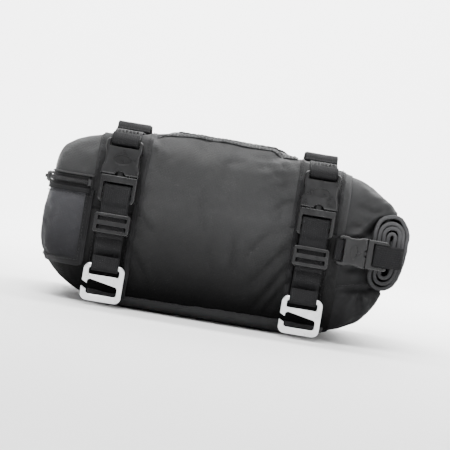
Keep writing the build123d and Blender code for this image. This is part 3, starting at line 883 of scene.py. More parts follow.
class Threads:
    """Collects stitches into one mesh."""

    def __init__(self):
        self.points, self.faces = [], []

    def stitch(self, a, b, normal, radius=0.3, arch=0.22):
        side = normal.cross((b - a).normalized()).normalized()
        start = len(self.points)
        # share along the stitch, share of the radius, height
        profile = [(0.0, 0.35, -0.25), (0.16, 0.8, 0.15), (0.5, 1.0, arch),
                   (0.84, 0.8, 0.15), (1.0, 0.35, -0.25)]
        for share, girth, height in profile:
            c = a + (b - a) * share + normal * (height * 1.2)
            for q in range(6):
                turn = pi * 2 * q / 6
                self.points.append(c + side * (cos(turn) * radius * girth)
                                   + normal * (sin(turn) * radius * girth))
        self.faces += tube_faces(len(profile), 6, start, first_back=True)

    def row(self, points, normals, pitch=3.3, length=2.4, radius=0.3):
        lift = 0.15
        dist = lengths(points)
        if dist[-1] < pitch:
            return
        s = 0.4
        while s + length < dist[-1]:
            a, normal_a = point_and_normal(points, normals, dist, s)
            b, normal_b = point_and_normal(points, normals, dist, s + length)
            normal = (normal_a + normal_b).normalized()
            self.stitch(a + normal_a * lift, b + normal_b * lift, normal, radius)
            s += pitch

    def tack(self, centre, normal, along, width, length, rows):
        """A bar tack: close zigzag rows across width, stepping along its length."""
        side = normal.cross(along).normalized()
        parts = max(1, int(width / 3.0))
        for i in range(rows):
            s = -length / 2 + length * i / (rows - 1)
            a = centre + along * s - side * width / 2
            b = centre + along * (s + (0.5 if i % 2 else -0.5)) + side * width / 2
            for q in range(parts):
                self.stitch(a.lerp(b, q / parts + 0.02), a.lerp(b, (q + 1) / parts - 0.02),
                            normal, radius=0.27, arch=0.15)

    def build(self, name, material):
        return add_mesh(name, self.points, self.faces, material)


seams, tacks = Threads(), Threads()
bag_parts = []          # (object, slot, CAD nodes it replaces)

# ---------------------------------------------------------------- patches under the straps
# end: x from, x to, columns, lower edge height, points round, half length of the cross stitches
OVER_PATCHES = {"rear": (-113.5, -66.5, 14, 86.0, 96, 23.0),
                "front": (68.5, 111.0, 13, 98.0, 90, 19.0)}
OVER_LIFT, LOWER_LIFT = 0.95, 0.7
LOWER_HALF, LOWER_END_Z = 17.5, 30.0    # lower patches: half width and bottom

for end, (x0, x1, nx, low_z, nj, _) in OVER_PATCHES.items():
    o = patch(f"patch_{end}_over", spread(x0, x1, nx),
              lambda x: spread(j_side(x, low_z, 1), j_side(x, low_z, -1), nj),
              MAT["patch"], OVER_LIFT, 0.8)
    bag_parts.append((o, "shell_fabric"))
    for x in (x0 + 2.6, x1 - 2.6):
        j0, j1 = j_side(x, low_z, 1), j_side(x, low_z, -1)
        seams.row(*lifted([(x, lerp(j0, j1, t)) for t in spread(0.012, 0.988, 160)], OVER_LIFT))

for side, sy in SIDES:
    for end, sx in ENDS:
        mid_x = sx * STRAP_X
        top_z = OVER_PATCHES[end][3] + 0.5
        stitch_half = OVER_PATCHES[end][5]
        xs = spread(mid_x - LOWER_HALF, mid_x + LOWER_HALF, 11)
        o = patch(f"patch_lower_{end}_{side}", xs,
                  lambda x: spread(j_side(x, top_z, sy), j_side(x, LOWER_END_Z, sy), 22),
                  MAT["patch"], LOWER_LIFT, 0.6)
        bag_parts.append((o, "shell_fabric"))
        for x in (xs[0] + 2.2, xs[-1] - 2.2):
            js = spread(j_side(x, top_z - 2, sy), j_side(x, LOWER_END_Z + 2, sy), 60)
            seams.row(*lifted([(x, j) for j in js], LOWER_LIFT))
        seams.row(*lifted([(x, j_side(x, top_z + 2.2, sy))
                           for x in spread(mid_x - stitch_half, mid_x + stitch_half, 30)],
                          OVER_LIFT))


# ---------------------------------------------------------------- rubber boot on the lower edge
def boot_places(x, sy):
    """Ring places from under the bag up to the boot's wavy top."""
    top = 13.5 + 1.2 * sin(x / 31.0)
    _, z0, _, r_low, _ = station(x)
    angle = degrees(acos(clamp((r_low - (top - z0)) / r_low, -1.0, 1.0)))
    j = N_CORNER * angle / 90.0
    return spread(N_FLAT - 3.0, N_FLAT + j, 14) if sy > 0 else spread(RING + 3.0, RING - j, 14)


for side, sy in SIDES:
    o = patch(f"boot_{side}", spread(-104.0, 113.0, 60), lambda x: boot_places(x, sy),
              MAT["rubber"], 0.8, 0.6)
    bag_parts.append((o, "base_rubber"))
    seams.row(*lifted([(x, boot_places(x, sy)[-1]) for x in spread(-103.0, 112.0, 180)], 0.1))

# ---------------------------------------------------------------- felled seams, and dark strips as painted shadow
# along the top corners, between the straps
for side, sy in SIDES:
    j = J_TOP - 1.0 if sy > 0 else J_TOP + N_FLAT + 1.0
    points, normals = lifted([(x, j) for x in spread(-64.0, 66.0, 120)], 0.35)
    o = ribbon(f"seam_fell_{side}", points, 8.0, 1.1, MAT["shell"], normals=normals)
    bag_parts.append((o, "shell_fabric"))
    for offset in (-2.6, 2.6):
        seams.row([p + n.cross(vec(1, 0, 0)).normalized() * offset + n * 0.62
                   for p, n in zip(points, normals)], normals)

# dark strips down the flanks beside the straps, painted shadow along the patch edges: end, x,
# top, bottom
FLANK_SHADOW_STRIPS = (("rear", -71.2, 97.0, 14.0), ("front", 74.6, 112.0, 31.0))
for side, sy in SIDES:
    for end, x, top, bottom in FLANK_SHADOW_STRIPS:
        points, normals = lifted([(x, j_side(x, z, sy)) for z in spread(top, bottom, 60)], 1.55)
        o = ribbon(f"flank_shadow_strip_{end}_{side}", points, 5.4, 1.3, MAT["bind"],
                   normals=normals)
        bag_parts.append((o, "shell_fabric"))

# ---------------------------------------------------------------- finer creases on the shell
subdivide(shell)
for v in shell.data.vertices:
    p = v.co / MM
    if 18 < p.z < 151 and abs(p.y) > 82 and abs(abs(p.x) - STRAP_X) > 24.5 and p.x > -66:
        n = v.normal
        d = creases_at(p, reach=30, width_gain=0.42, depth_gain=0.5)
        v.co = (p + n * d) * MM
shell.data.update()
bpy.context.view_layer.update()
SHELL_TREE = BVHTree.FromObject(shell, bpy.context.evaluated_depsgraph_get())


# ---------------------------------------------------------------- lines round the rear end
def rear_path(z, x_limit):
    """Round the rear at one height: right flank, rear face, left flank, as far as x_limit."""
    points, normals = [], []
    origin = vec(-108.0, 0.0, z) * MM
    for i in range(601):
        angle = radians(-91 - 178 * i / 600)
        ray = vec(cos(angle), sin(angle), 0.0)
        hit, n, _, _ = SHELL_TREE.ray_cast(origin, ray, 0.3)
        if hit is None:
            continue
        p = hit / MM
        if p.x <= x_limit:
            points.append(p)
            normals.append((-n if n.dot(ray) < 0 else n).normalized())
    return points, normals


def rear_line(z, x_limit, count, reach=4):
    """The rear path as evenly spaced points with smoothed normals."""
    points, normals = rear_path(z, x_limit)
    dist = lengths(points)
    pairs = [point_and_normal(points, normals, dist, dist[-1] * i / (count - 1))
             for i in range(count)]
    return [p for p, _ in pairs], smooth_normals([n for _, n in pairs], reach)


# ---------------------------------------------------------------- rear pocket
POCKET_LOW, POCKET_TOP = 34.0, 102.4
P_COLS, P_ROWS = 96, 30

pocket_rows, pocket_normals = [], []
for a in range(P_ROWS):
    z = POCKET_LOW + (POCKET_TOP - POCKET_LOW) * a / (P_ROWS - 1)
    points, normals = rear_line(z, -111.6, P_COLS, reach=3)
    pocket_rows.append([p + n * 1.1 for p, n in zip(points, normals)])
    pocket_normals.append(normals)
pocket = grid_mesh("rear_pocket_panel", pocket_rows, MAT["panel"], closed=False)
face_away(pocket, (-0.112, 0, 0.08))
pocket_pins = [
    1.0 - smooth(1.0, 3.2, min(a, P_ROWS - 1 - a, b * 0.9, (P_COLS - 1 - b) * 0.9))
    for a in range(P_ROWS) for b in range(P_COLS)]
for i, v in enumerate(pocket.data.vertices):
    a, b = divmod(i, P_COLS)
    p = v.co / MM
    swell = 0.7 + 0.9 * fbm((p.x, p.y, p.z * 0.6), 0.05, 51.0, 3)
    v.co = (p + pocket_normals[a][b] * ((1 - pocket_pins[i]) * swell)) * MM
run_cloth(pocket, pocket_pins, pressure=1.6, max_move=3.4, frames=16, bend=0.4, tension=12.0)

# two darts at the lower corners and a slack top lip
for i, v in enumerate(pocket.data.vertices):
    a, b = divmod(i, P_COLS)
    p = v.co / MM
    n = pocket_normals[a][b]
    free = 1 - pocket_pins[i]
    d = 0.0
    for dart in (0.17, 0.83):
        t = b / (P_COLS - 1) - dart
        d += -1.5 * exp(-(t / 0.012) ** 2) * smooth(0.35, 1.0, 1 - a / (P_ROWS - 1)) * free
    d += 0.5 * fbm((p.x, p.y, p.z), 0.06, 61.0, 3) * free
    if a >= P_ROWS - 5:
        d += 0.7 * (a - (P_ROWS - 5)) / 4
    base = pocket_rows[a][b]
    q = p + n * d
    if (q - base).dot(n) < -0.5:
        q = base - n * 0.5
    v.co = q * MM
pocket.data.update()
thicken(pocket, 1.0)
subdivide(pocket)

# binding down one side, along the bottom and up the other side
edge = [(a, 1) for a in range(P_ROWS - 1, -1, -1)]
edge += [(1, b) for b in range(1, P_COLS - 1)]
edge += [(a, P_COLS - 2) for a in range(P_ROWS)]
edge_points = [pocket_rows[a][b] for a, b in edge]
edge_normals = [pocket_normals[a][b] for a, b in edge]
points = round_path([p + n * 0.55 for p, n in zip(edge_points[::3], edge_normals[::3])],
                    7.0, 2.0)
nearest = [min(range(len(edge)), key=lambda k, p=p: (edge_points[k] - p).length_squared)
           for p in points]
normals = smooth_normals([edge_normals[k] for k in nearest], 3)
bag_parts.append((ribbon("pocket_binding", points, 7.4, 1.2, MAT["bind"], normals=normals),
                  "webbing"))
seams.row([p + side * -1.9 + n * 0.68
           for p, (n, side) in zip(points, path_frames(points, normals))], normals)

normals = pocket_normals[-1]
points = [p + n * 1.9 for p, n in zip(pocket_rows[-1], normals)]
o = ribbon("pocket_lip", [p + vec(0, 0, -1.8) for p in points[1:-1]], 5.0, 1.6, MAT["bind"],
           normals=normals[1:-1])
bag_parts.append((o, "webbing"))
seams.row([p + vec(0, 0, -6.5) + n * 0.4 for p, n in zip(points, normals)], normals)

# ---------------------------------------------------------------- zip
# tape halves: part, bottom, top and stitch line against the zip's height, CAD nodes replaced
ZIP_TAPES = (("lower", -5.4, -0.5, -4.1, ["zip_tape"]), ("upper", 0.5, 5.4, 4.1, []))
for part, low, high, stitch, nodes in ZIP_TAPES:
    rows = []
    for a in range(5):
        z0, z1 = ZIP_Z + low, ZIP_Z + high
        points, normals = rear_line(z0 + (z1 - z0) * a / 4, -115.0, 140)
        rows.append([p + n * (1.05 + 0.12 * sin(a)) for p, n in zip(points, normals)])
    o = grid_mesh(f"zip_tape_{part}", rows, MAT["tape"], closed=False)
    face_away(o, (-0.112, 0, 0.113))
    thicken(o, 0.8)
    bag_parts.append((o, "zip_tape", *nodes))
    points, normals = rear_line(ZIP_Z + stitch, -115.5, 160)
    seams.row([p + n * 1.1 for p, n in zip(points, normals)], normals, 2.6, 1.9, 0.24)


def zip_coil():
    """Interlocked upright loops, one per turn, set alternately high and low."""
    pitch, x_limit = 0.92, -118.0
    # height along the loop, share of its girth
    profile = ((-1.65, 0.35), (-1.35, 0.8), (-0.4, 1.0), (0.4, 1.0), (1.35, 0.8), (1.65, 0.35))
    count = int(lengths(rear_path(ZIP_Z, x_limit)[0])[-1] / pitch)
    line, line_normals = rear_line(ZIP_Z, x_limit, count)
    up = vec(0, 0, 1)
    verts, faces = [], []
    for i, (p, n) in enumerate(zip(line, line_normals)):
        tangent = (line[min(i + 1, count - 1)] - line[max(i - 1, 0)]).normalized()
        c = p + n * 2.15 + up * (0.45 * (1 if i % 2 else -1))
        faces += tube_faces(len(profile), 8, len(verts), first_back=True)
        for height, girth in profile:
            for q in range(8):
                turn = tau * q / 8
                verts.append(c + up * height + tangent * (0.52 * girth * cos(turn))
                             + n * (0.95 * girth * sin(turn) - 0.25 * abs(height) / 1.65))
    return outward(add_mesh("zip_coil", verts, faces, MAT["zipcoil"]))


coil = zip_coil()

# a narrow folded lip above the zip: height over it, lift off the shell
WELT = ((7.8, 0.3), (7.0, 1.5), (6.2, 2.1), (5.6, 1.9), (5.5, 1.1))
rows = []
for height, lift in WELT:
    points, normals = rear_line(ZIP_Z + height, -112.5, 130)
    rows.append([p + n * (lift + 0.12 * sin(i * 0.21))
                 for i, (p, n) in enumerate(zip(points, normals))])
welt = grid_mesh("zip_welt", rows, MAT["shell"], closed=False)
face_away(welt, (-0.112, 0, 0.113))
thicken(welt, 0.7)
bag_parts.append((subdivide(welt), "shell_fabric"))

# ---------------------------------------------------------------- liner
rows = [[p + vec(0, p.y, p.z - 80).normalized() * (0.8 * fbm(p, 0.05, 71.0, 3) - 0.3)
         for p in row] for row in tube_rows(-146.0, MOUTH_X - 3.0, 6.0, d=-4.2)]
liner_caps, centre = cap_rows(rows[0], -146.6, 8)
liner = outward(grid_mesh("liner", liner_caps + rows, MAT["film"], centre=centre))
thicken(liner, 0.8)
thicken(shell, 2.0)


# ---------------------------------------------------------------- base panel with grip dots
def rounded_rectangle(half_x, half_y, r, n=10):
    out = []
    for sx, sy, start in ((1, 1, 0), (-1, 1, 90), (-1, -1, 180), (1, -1, 270)):
        for i in range(n + 1):
            a = radians(start + 90 * i / n)
            out.append((sx * (half_x - r) + r * cos(a), sy * (half_y - r) + r * sin(a)))
    return out


def base_panel():
    # half length, half width, corner radius, height
    levels = [(83.0, 68.0, 13.0, 0.62), (84.0, 69.0, 14.0, 0.95),
              (84.0, 69.0, 14.0, 1.6), (83.2, 68.2, 13.2, 1.9)]
    dot_levels = ((2.05, 0.66), (1.95, 0.25), (1.5, 0.04))     # radius, height
    pitch_x, pitch_y = 6.0, 5.3
    verts = [vec(x, y, z) for half_x, half_y, r, z in levels
             for x, y in rounded_rectangle(half_x, half_y, r)]
    faces = tube_faces(len(levels), len(verts) // len(levels), first_back=True)
    for a in range(-13, 14):
        for b in range(-12, 13):
            x, y = a * pitch_x + (pitch_x / 2 if b % 2 else 0.0), b * pitch_y
            if abs(x) > 78 or abs(y) > 63:
                continue
            faces += tube_faces(len(dot_levels), 6, len(verts))
            for r, z in dot_levels:
                for q in range(6):
                    turn = tau * q / 6 + pi / 6
                    verts.append(vec(x + r * cos(turn), y + r * sin(turn), z))
    return outward(add_mesh("base_grip_panel", verts, faces, MAT["rubber"],
                            smooth_faces=False))


base = base_panel()

# ---------------------------------------------------------------- collar
COLLAR_ROWS, COLLAR_RING = 34, 300
SHELL_HALF, SHELL_LOW, SHELL_TOP = station(MOUTH_X)[:3]
START_X = MOUTH_X - 3.0


def collar_curve(*values):
    """Values at these shares of the way from the shell to the roll."""
    return pchip([0, 0.22, 0.45, 0.68, 0.86, 1.0], values)


top_x = collar_curve(START_X, 127.5, 138.5, 149.0, 157.0, 163.5)
top_z = collar_curve(SHELL_TOP - 0.6, 150.5, 145.5, 138.5, 132.6, 127.2)
low_x = collar_curve(START_X, 127.0, 139.0, 149.5, 156.5, 160.5)
low_z = collar_curve(SHELL_LOW + 0.4, 12.8, 19.5, 28.5, 39.0, 49.6)
side_x = collar_curve(START_X, 123.0, 131.0, 138.5, 143.5, 147.5)
side_sink = collar_curve(0.0, 1.2, 3.6, 7.4, 10.6, 13.0)
collar_half = collar_curve(SHELL_HALF - 1.0, 96.6, 95.6, 94.2, 92.8, 91.0)

# flank folds: start and end (x, z), width, depth
GUSSET = [((122, 93), (131, 95), 4.0, 5.0), ((131, 95), (144, 89), 4.2, 6.0),
          ((136, 99), (150, 117), 3.6, 5.0), ((120, 128), (146, 124), 3.2, 1.8),
          ((119, 70), (146, 74), 3.4, 2.2), ((118, 108), (134, 106), 3.2, 1.6)]
# pleats round the collar: count, depth, phase
PLEATS = ((17, 1.0, 0.3), (31, 0.6, 1.7), (9, 0.7, 4.0))
FOLD_SLOPE = 0.165      # the low flank fold rises towards +X


def even_ring(outline, n):
    """A closed ring of (y, z) points, evenly resampled."""
    y, z = outline[0]
    fine = resample([vec(0, y, z) for y, z in outline] + [vec(0, y, z)], 0.5)
    return [fine[int(i * (len(fine) - 1) / n)] for i in range(n)]


def flank_folds(x, p):
    """A fold low on the flank, pleats fanning out below it, and the gusset's folds."""
    fold_z = 49.5 + (x - 120.0) * FOLD_SLOPE
    k = (p.z - fold_z) / 2.3
    d = -3.6 * exp(-k * k) + 1.7 * exp(-((k - 2.0) ** 2)) + 1.2 * exp(-((k + 2.2) ** 2))
    if p.z < fold_z:
        fan = degrees(atan2(x - 140.0, 62.0 - p.z))
        d += smooth(0.0, 7.0, fold_z - p.z) * (2.6 * cos(tau * (fan + 15.0) / 35.0) + 2.4)
    for a, b, width, depth in GUSSET:
        k = segment_distance(x, p.z, a, b)[0] / width
        d += -depth * exp(-k * k) + 0.4 * depth * exp(-((k - 1.8) ** 2) * 1.3)
    return d + 1.2 * fbm((x, p.y, p.z), 0.07, 83.0, 4)


def collar_row(s):
    """The collar's ring at share s of the way to the roll."""
    z0, z1 = low_z(s), top_z(s)
    base_ring = even_ring(
        ring(collar_half(s), z0, z1, lerp(30.0, 13.0, s), lerp(29.0, 12.0, s)), COLLAR_RING)
    amount = smooth(0.03, 0.4, s) * (1.0 - 0.75 * smooth(0.9, 1.0, s))
    row = []
    for j, p0 in enumerate(base_ring):
        tangent = (base_ring[(j + 1) % COLLAR_RING] - base_ring[j - 1]).normalized()
        n = vec(0, tangent.z, -tangent.y)
        if n.dot(vec(0, p0.y, p0.z - (z0 + z1) / 2)) < 0:
            n = -n
        height = (p0.z - z0) / (z1 - z0)
        waist = max(0.0, 1 - abs(2 * height - 1) ** 2.4) * smooth(0.55, 0.95, abs(n.y))
        x = lerp(top_x(s) if height > 0.5 else low_x(s), side_x(s), waist)
        p = vec(x, p0.y, p0.z)
        around = j / COLLAR_RING * tau
        pleats = 0.0
        for count, depth, phase in PLEATS:
            jitter = 1.5 * noise.noise(vec(around * 2.2, s * 1.4, count))
            pleats += depth * (abs(sin(around * count / 2 + phase + jitter)) - 0.62)
        # the pleats are deepest on top and underneath
        flat = smooth(0.4, 0.8, abs(n.z))
        d = amount * pleats * lerp(0.5, 1.35 if n.z > 0 else 2.0, flat) - side_sink(s) * waist
        side = smooth(0.45, 0.85, abs(n.y))
        if side > 0:
            d += side * amount * flank_folds(x, p)
        d += 1.0 * amount * fbm((x, p.y, p.z), 0.05, 81.0, 3)
        q = p + n * d
        # nothing stands out past the closure buckles
        if abs(p.z - CLOSE_Z) < 15 and abs(n.y) > 0.6:
            q.y = copysign(min(abs(q.y), lerp(99.6, 97.5, s)), q.y)
        row.append(q)
    return row


collar_rows = [collar_row(a / COLLAR_ROWS) for a in range(COLLAR_ROWS + 1)]
collar = grid_mesh("collar_cloth_tube", collar_rows, MAT["collar"])
face_away(collar, (0.135, 0, 0.085))
thicken(collar, 1.0)
subdivide(collar)


def off_stitch_line(q):
    return abs(q.z - (53.6 + (q.x - 120.0) * FOLD_SLOPE))


# stitches along the low flank fold
collar_threads = Threads()
for _, sy in SIDES:
    points = []
    for row in collar_rows[2:COLLAR_ROWS - 2]:
        q = min((q for q in row if q.y * sy > 60), key=off_stitch_line, default=None)
        if q is not None and off_stitch_line(q) < 3.0:
            points.append(q + vec(0, sy * 0.15, 0))
    if len(points) > 3:
        collar_threads.row(points, [vec(0, sy, 0.1).normalized()] * len(points))
collar_seam = collar_threads.build("collar_stitch", MAT["thread"])


# ---------------------------------------------------------------- the rolled top
def slot_point(r, half, share):
    """A point (x, z) on an upright slot by share of its outline, from mid -X going up."""
    d = (share % 1.0) * (4 * half + tau * r)
    if d < half:
        return (-r, d)
    d -= half
    if d < pi * r:
        a = pi - d / r
        return (r * cos(a), half + r * sin(a))
    d -= pi * r
    if d < 2 * half:
        return (r, half - d)
    d -= 2 * half
    if d < pi * r:
        a = -d / r
        return (r * cos(a), -half + r * sin(a))
    d -= pi * r
    return (-r, -half + d)


def lean(z):
    """How far the roll curves towards -X above and below its middle."""
    return (1.5 if z > 0 else 6.5) * ((z / 38.0) ** 2 + 0.01) ** 0.5 - (
        0.15 if z > 0 else 0.65)


ROLL_ROWS, ROLL_TURNS, PER_TURN = 84, 3.55, 44
SPIRAL = int(ROLL_TURNS * PER_TURN)


def roll_row(y):
    """The spiral at one place along the roll, from the outer lap inwards."""
    end = abs(y) / ROLL_HALF
    sag = 1 + 0.035 * sin(y / 23.0 + 1.0) + 0.02 * sin(y / 9.0)
    row = []
    for a in range(SPIRAL + 1):
        turn = a / PER_TURN
        share = 0.06 + turn
        r = (16.3 - 4.05 * turn) * (1 - 0.04 * end ** 7)
        half = 20.0 * sag * (1 - 0.05 * end ** 6) * (1 - 0.05 * turn)
        x, z = slot_point(max(r, 2.0), half, share)
        n = vec(x, 0, z - copysign(min(abs(z), half), z)).normalized()
        # drag lines run aslant along the roll, on its outer lap
        drag = abs(sin(y / 13.0 + 2.4 * sin(share * tau + 0.6)
                       + 1.3 * noise.noise(vec(y * 0.03, share * 3, 1.0)))) - 0.6
        rumple = fbm((y, z * 1.6, x + 9 * turn), 0.055, 91.0, 4)
        d = max(0.0, 1 - turn) * (drag + 1.1 * rumple)
        d += 0.3 * rumple + 0.35 * end ** 4 * sin(turn * 9.0)
        # the laps step in and out at the ends
        lap_y = copysign(abs(y) - (end ** 8) * (0.7 + 0.7 * sin(turn * 5.1)), y)
        squash = 0.93 if x > 0 else 1.0
        row.append(vec(ROLL_X + x * squash - lean(z), lap_y, ROLL_Z + z) + n * d)
    return row


roll_rows = [roll_row(-ROLL_HALF + 2 * ROLL_HALF * b / ROLL_ROWS) for b in range(ROLL_ROWS + 1)]
roll = grid_mesh("roll_cloth", roll_rows, MAT["collar"], closed=False)
facing = 0
for f in roll.data.polygons:
    if f.index % SPIRAL < PER_TURN * 0.9:
        c = f.center / MM
        facing += 1 if f.normal.dot(vec(c.x - ROLL_X, 0, c.z - ROLL_Z)) > 0 else -1
if facing < 0:
    roll.data.flip_normals()
# the cut edges take the lighter coat cloth, painted light on lap ends that sit in shade
roll.data.materials.append(MAT["coat"])
solid = roll.modifiers.new("solid", "SOLIDIFY")
solid.material_offset_rim = 1
solid.thickness = 3.7 * MM
solid.offset = 0.0
solid.use_rim = True
bevel = roll.modifiers.new("round", "BEVEL")
bevel.limit_method = "ANGLE"
bevel.angle_limit = radians(50)
bevel.width = 0.9 * MM
bevel.segments = 2
apply_modifiers(roll)

# the hem round the stiffener, closed at both ends: y, share of the section
HEM_END = [(89.2, 1.0), (90.2, 0.75), (90.6, 0.15)]
hem_stations = [(-y, k) for y, k in HEM_END[::-1]]
hem_stations += [(y, 1.0) for y in (-60.0, -30.0, 0.0, 30.0, 60.0)] + HEM_END
hem_section = [slot_point(1.9, 11.2, i / 28) for i in range(28)]
hem = capped_tube("roll_hem", [[vec(ROLL_X + x * k, y, ROLL_Z + z * k) for x, z in hem_section]
                               for y, k in hem_stations], MAT["collar"])

# two stitch lines on the outer lap
roll_threads = Threads()
for turn in (0.135, 0.165):
    points, normals = [], []
    k = int(turn * PER_TURN)
    for row in roll_rows[2:ROLL_ROWS - 1]:
        p = row[k]
        tangent = (row[k + 1] - p).normalized()
        n = vec(tangent.z, 0, -tangent.x)
        if n.dot(p - vec(ROLL_X, p.y, ROLL_Z)) < 0:
            n = -n
        points.append(p + n * 1.55)
        normals.append(n)
    roll_threads.row(points, normals)
roll_seam = roll_threads.build("roll_hem_stitch", MAT["thread"])

# ---------------------------------------------------------------- webbing
ACROSS_X, ACROSS_Y, ACROSS_Z = (1, 0, 0), (0, 1, 0), (0, 0, 1)
GIRTH_W, GIRTH_CORNER = 25.0, 26.6
# over the buckle's bar: outward and up in the tilted frame of the buckle
GIRTH_LOOP = ((5.0, 38.6), (9.2, 33.6), (9.2, 29.6), (8.0, 27.8), (5.5, 27.2),
              (2.8, 28.0), (1.6, 31.5), (1.4, 36.5))
MOUNT_DOWN = ((1.6, -66.0), (1.6, -40.0), (1.6, -9.2), (8.0, -9.2), (8.0, -24.6),
              (5.4, -28.0), (5.4, -57.0))
# one hump of a docking loop: y from its middle, height
DOCK_HUMP = ((-11.0, 0.1), (-8.6, 3.6), (-4.6, 6.4), (4.6, 6.4), (8.6, 3.6), (11.0, 0.1))


def buckle_yz(sy, out, up):
    """(y, z) of a point in the tilted frame of a strap buckle."""
    return (sy * (BUCKLE_Y + out * cos(BUCKLE_TILT) - up * sin(BUCKLE_TILT)),
            BUCKLE_Z + out * sin(BUCKLE_TILT) + up * cos(BUCKLE_TILT))


web_parts = []
for end, sx in ENDS:
    x = sx * STRAP_X
    half = [buckle_yz(1, out, up) for out, up in GIRTH_LOOP]
    for angle in (56, 66, 78, 90):
        half.append((74.0 + GIRTH_CORNER * cos(radians(angle)),
                     GIRTH_Z - GIRTH_CORNER + GIRTH_CORNER * sin(radians(angle))))
    path = half + [(-y, z) for y, z in reversed(half)]
    points = round_path([vec(x, y, z) for y, z in path], 6.0, 1.8)
    points = [p + vec(0, 0, 0.25 * sin(p.y / 17.0 + sx)) if abs(p.y) < 70 else p
              for p in points]
    o = ribbon(f"girth_web_{end}", points, GIRTH_W, 1.9, MAT["web"], across=ACROSS_X,
               wave=0.15, seed=sx)
    web_parts.append((o, "webbing", f"girth_strap_{end}"))
    for _, sy in SIDES:
        n = vec(0, sy * 0.55, 0.83).normalized()
        tacks.tack(vec(x, sy * 86.0, 159.0) + n * 0.6, n, vec(0, -sy * 0.83, 0.55).normalized(),
                   width=20.0, length=3.0, rows=5)

# corner straps: round the hook's bar, up through the buckle, and a free tail hanging down
mount_webs = {}
for end, sx in ENDS:
    for side, sy in SIDES:
        path = [(sy * (HOOK_Y + 3.6), HOOK_BAR_Z + 9.5)]
        path += [(sy * (HOOK_Y + 3.9 * cos(radians(a))), HOOK_BAR_Z + 3.9 * sin(radians(a)))
                 for a in range(20, -201, -20)]
        path += [(sy * (HOOK_Y - 3.2), HOOK_BAR_Z + 9.0)]
        path += [buckle_yz(sy, out, up) for out, up in MOUNT_DOWN]
        points = round_path([vec(sx * STRAP_X, y, z) for y, z in path], 1.7, 1.1)
        mount_webs[f"{end}_{side}"] = ribbon(
            f"mount_web_{end}_{side}", points, 24.6, 1.8, MAT["web"], across=ACROSS_X,
            wave=0.12, seed=sx * 3 + sy)

# docking loops: webbing tacked on the girth straps, with two tunnels each
for end, sx in ENDS:
    x, z = sx * STRAP_X, GIRTH_Z + 1.0 + 1.25
    path = [(-26.0, z)] + [(c + y, z + up) for c in (-12.0, 12.0) for y, up in DOCK_HUMP]
    path += [(26.0, z)]
    points = round_path([vec(x, y, height) for y, height in path], 2.6, 0.9)
    o = ribbon(f"docking_web_{end}", points, 31.0, 2.3, MAT["web"], across=ACROSS_X,
               wave=0.25, seed=7 + sx)
    web_parts.append((o, "webbing", f"docking_loop_{end}"))
    for y in (-24.6, 0.0, 24.6):
        tacks.tack(vec(x, y, z + 1.2), vec(0, 0, 1), vec(0, 1, 0),
                   width=27.0, length=1.8, rows=4)

# ---------------------------------------------------------------- carry handle
# each half from the strap to the grip: distance from the middle, height
HANDLE_PATH = ((69.6, GIRTH_Z), (60.0, 162.3), (53.6, HANDLE_Z - 0.9), (49.5, HANDLE_Z),
               (0.4, HANDLE_Z))
handle = {}
for end, sx in ENDS:
    points = round_path([vec(sx * x, 0, z) for x, z in HANDLE_PATH], 4.0, 1.4)
    handle[end] = ribbon(f"handle_web_{end}", points, 25.0, 1.9, MAT["web"], across=ACROSS_Y,
                         wave=0.1, seed=3 + sx)
    tacks.tack(vec(sx * 66.5, 0, 161.1 + 1.1), vec(-sx * 0.2, 0, 0.98).normalized(),
               vec(1, 0, 0.2).normalized(), width=21.0, length=3.2, rows=6)


def grip_ring(x):
    """The moulded grip's section, ribbed across except near its ends."""
    rib_h, rib_pitch = 0.55, 6.0
    end = max(0.0, 1 - min(GRIP_HALF - abs(x), 3.0) / 3.0)
    rib = rib_h * (abs(sin(pi * x / rib_pitch)) ** 0.5) if abs(x) < 42 else rib_h
    half_h = 2.35 - rib_h + rib - end * end
    half_w = 14.4 - 0.7 * end * end - 0.25 * (rib_h - rib)
    out = []
    for q in range(36):
        c, s = cos(tau * q / 36), sin(tau * q / 36)
        out.append(vec(x, half_w * copysign(abs(c) ** 0.35, c),
                       HANDLE_Z + half_h * copysign(abs(s) ** 0.6, s)))
    return out


GRIP_HALF = 48
grip = capped_tube("grip_moulding", [grip_ring(-GRIP_HALF + 2 * GRIP_HALF * i / 120)
                                     for i in range(121)], MAT["grip"])

# ---------------------------------------------------------------- closure tabs and straps
CLOSE_W = 19.6
TAB_IN, TAB_OUT = -1.1, 7.6 * CLOSE_SCALE + 1.1
TAB_BACK, TAB_SLOT = 35.3 * CLOSE_SCALE, 27.2 * CLOSE_SCALE
# towards -X and outward from the buckle's centre
TAB_PATH = ((TAB_IN, TAB_SLOT), (TAB_IN, TAB_BACK - 0.9), (TAB_IN + 0.9, TAB_BACK),
            (TAB_OUT - 0.9, TAB_BACK), (TAB_OUT, TAB_BACK - 0.9), (TAB_OUT, TAB_SLOT + 0.7),
            (TAB_OUT - 0.7, TAB_SLOT), (TAB_IN + 1.0, TAB_SLOT))
STRAP_PATH = ((1.2, -20.0), (1.2, -9.0 * CLOSE_SCALE), (8.4 * CLOSE_SCALE, -9.0 * CLOSE_SCALE),
              (8.4 * CLOSE_SCALE, -24.0 * CLOSE_SCALE), (5.2, -27.0), (4.6, -31.0))
# a crossed box of stitches: z from, z to, x from, x to
BOX_Z, BOX_X0, BOX_X1 = 7.6, 152.8, 168.5
BOX = ((-BOX_Z, -BOX_Z, BOX_X0, BOX_X1), (BOX_Z, BOX_Z, BOX_X0, BOX_X1),
       (-BOX_Z, BOX_Z, BOX_X0, BOX_X1), (BOX_Z, -BOX_Z, BOX_X0, BOX_X1),
       (-BOX_Z, BOX_Z, BOX_X0, BOX_X0), (-BOX_Z, BOX_Z, BOX_X1, BOX_X1))

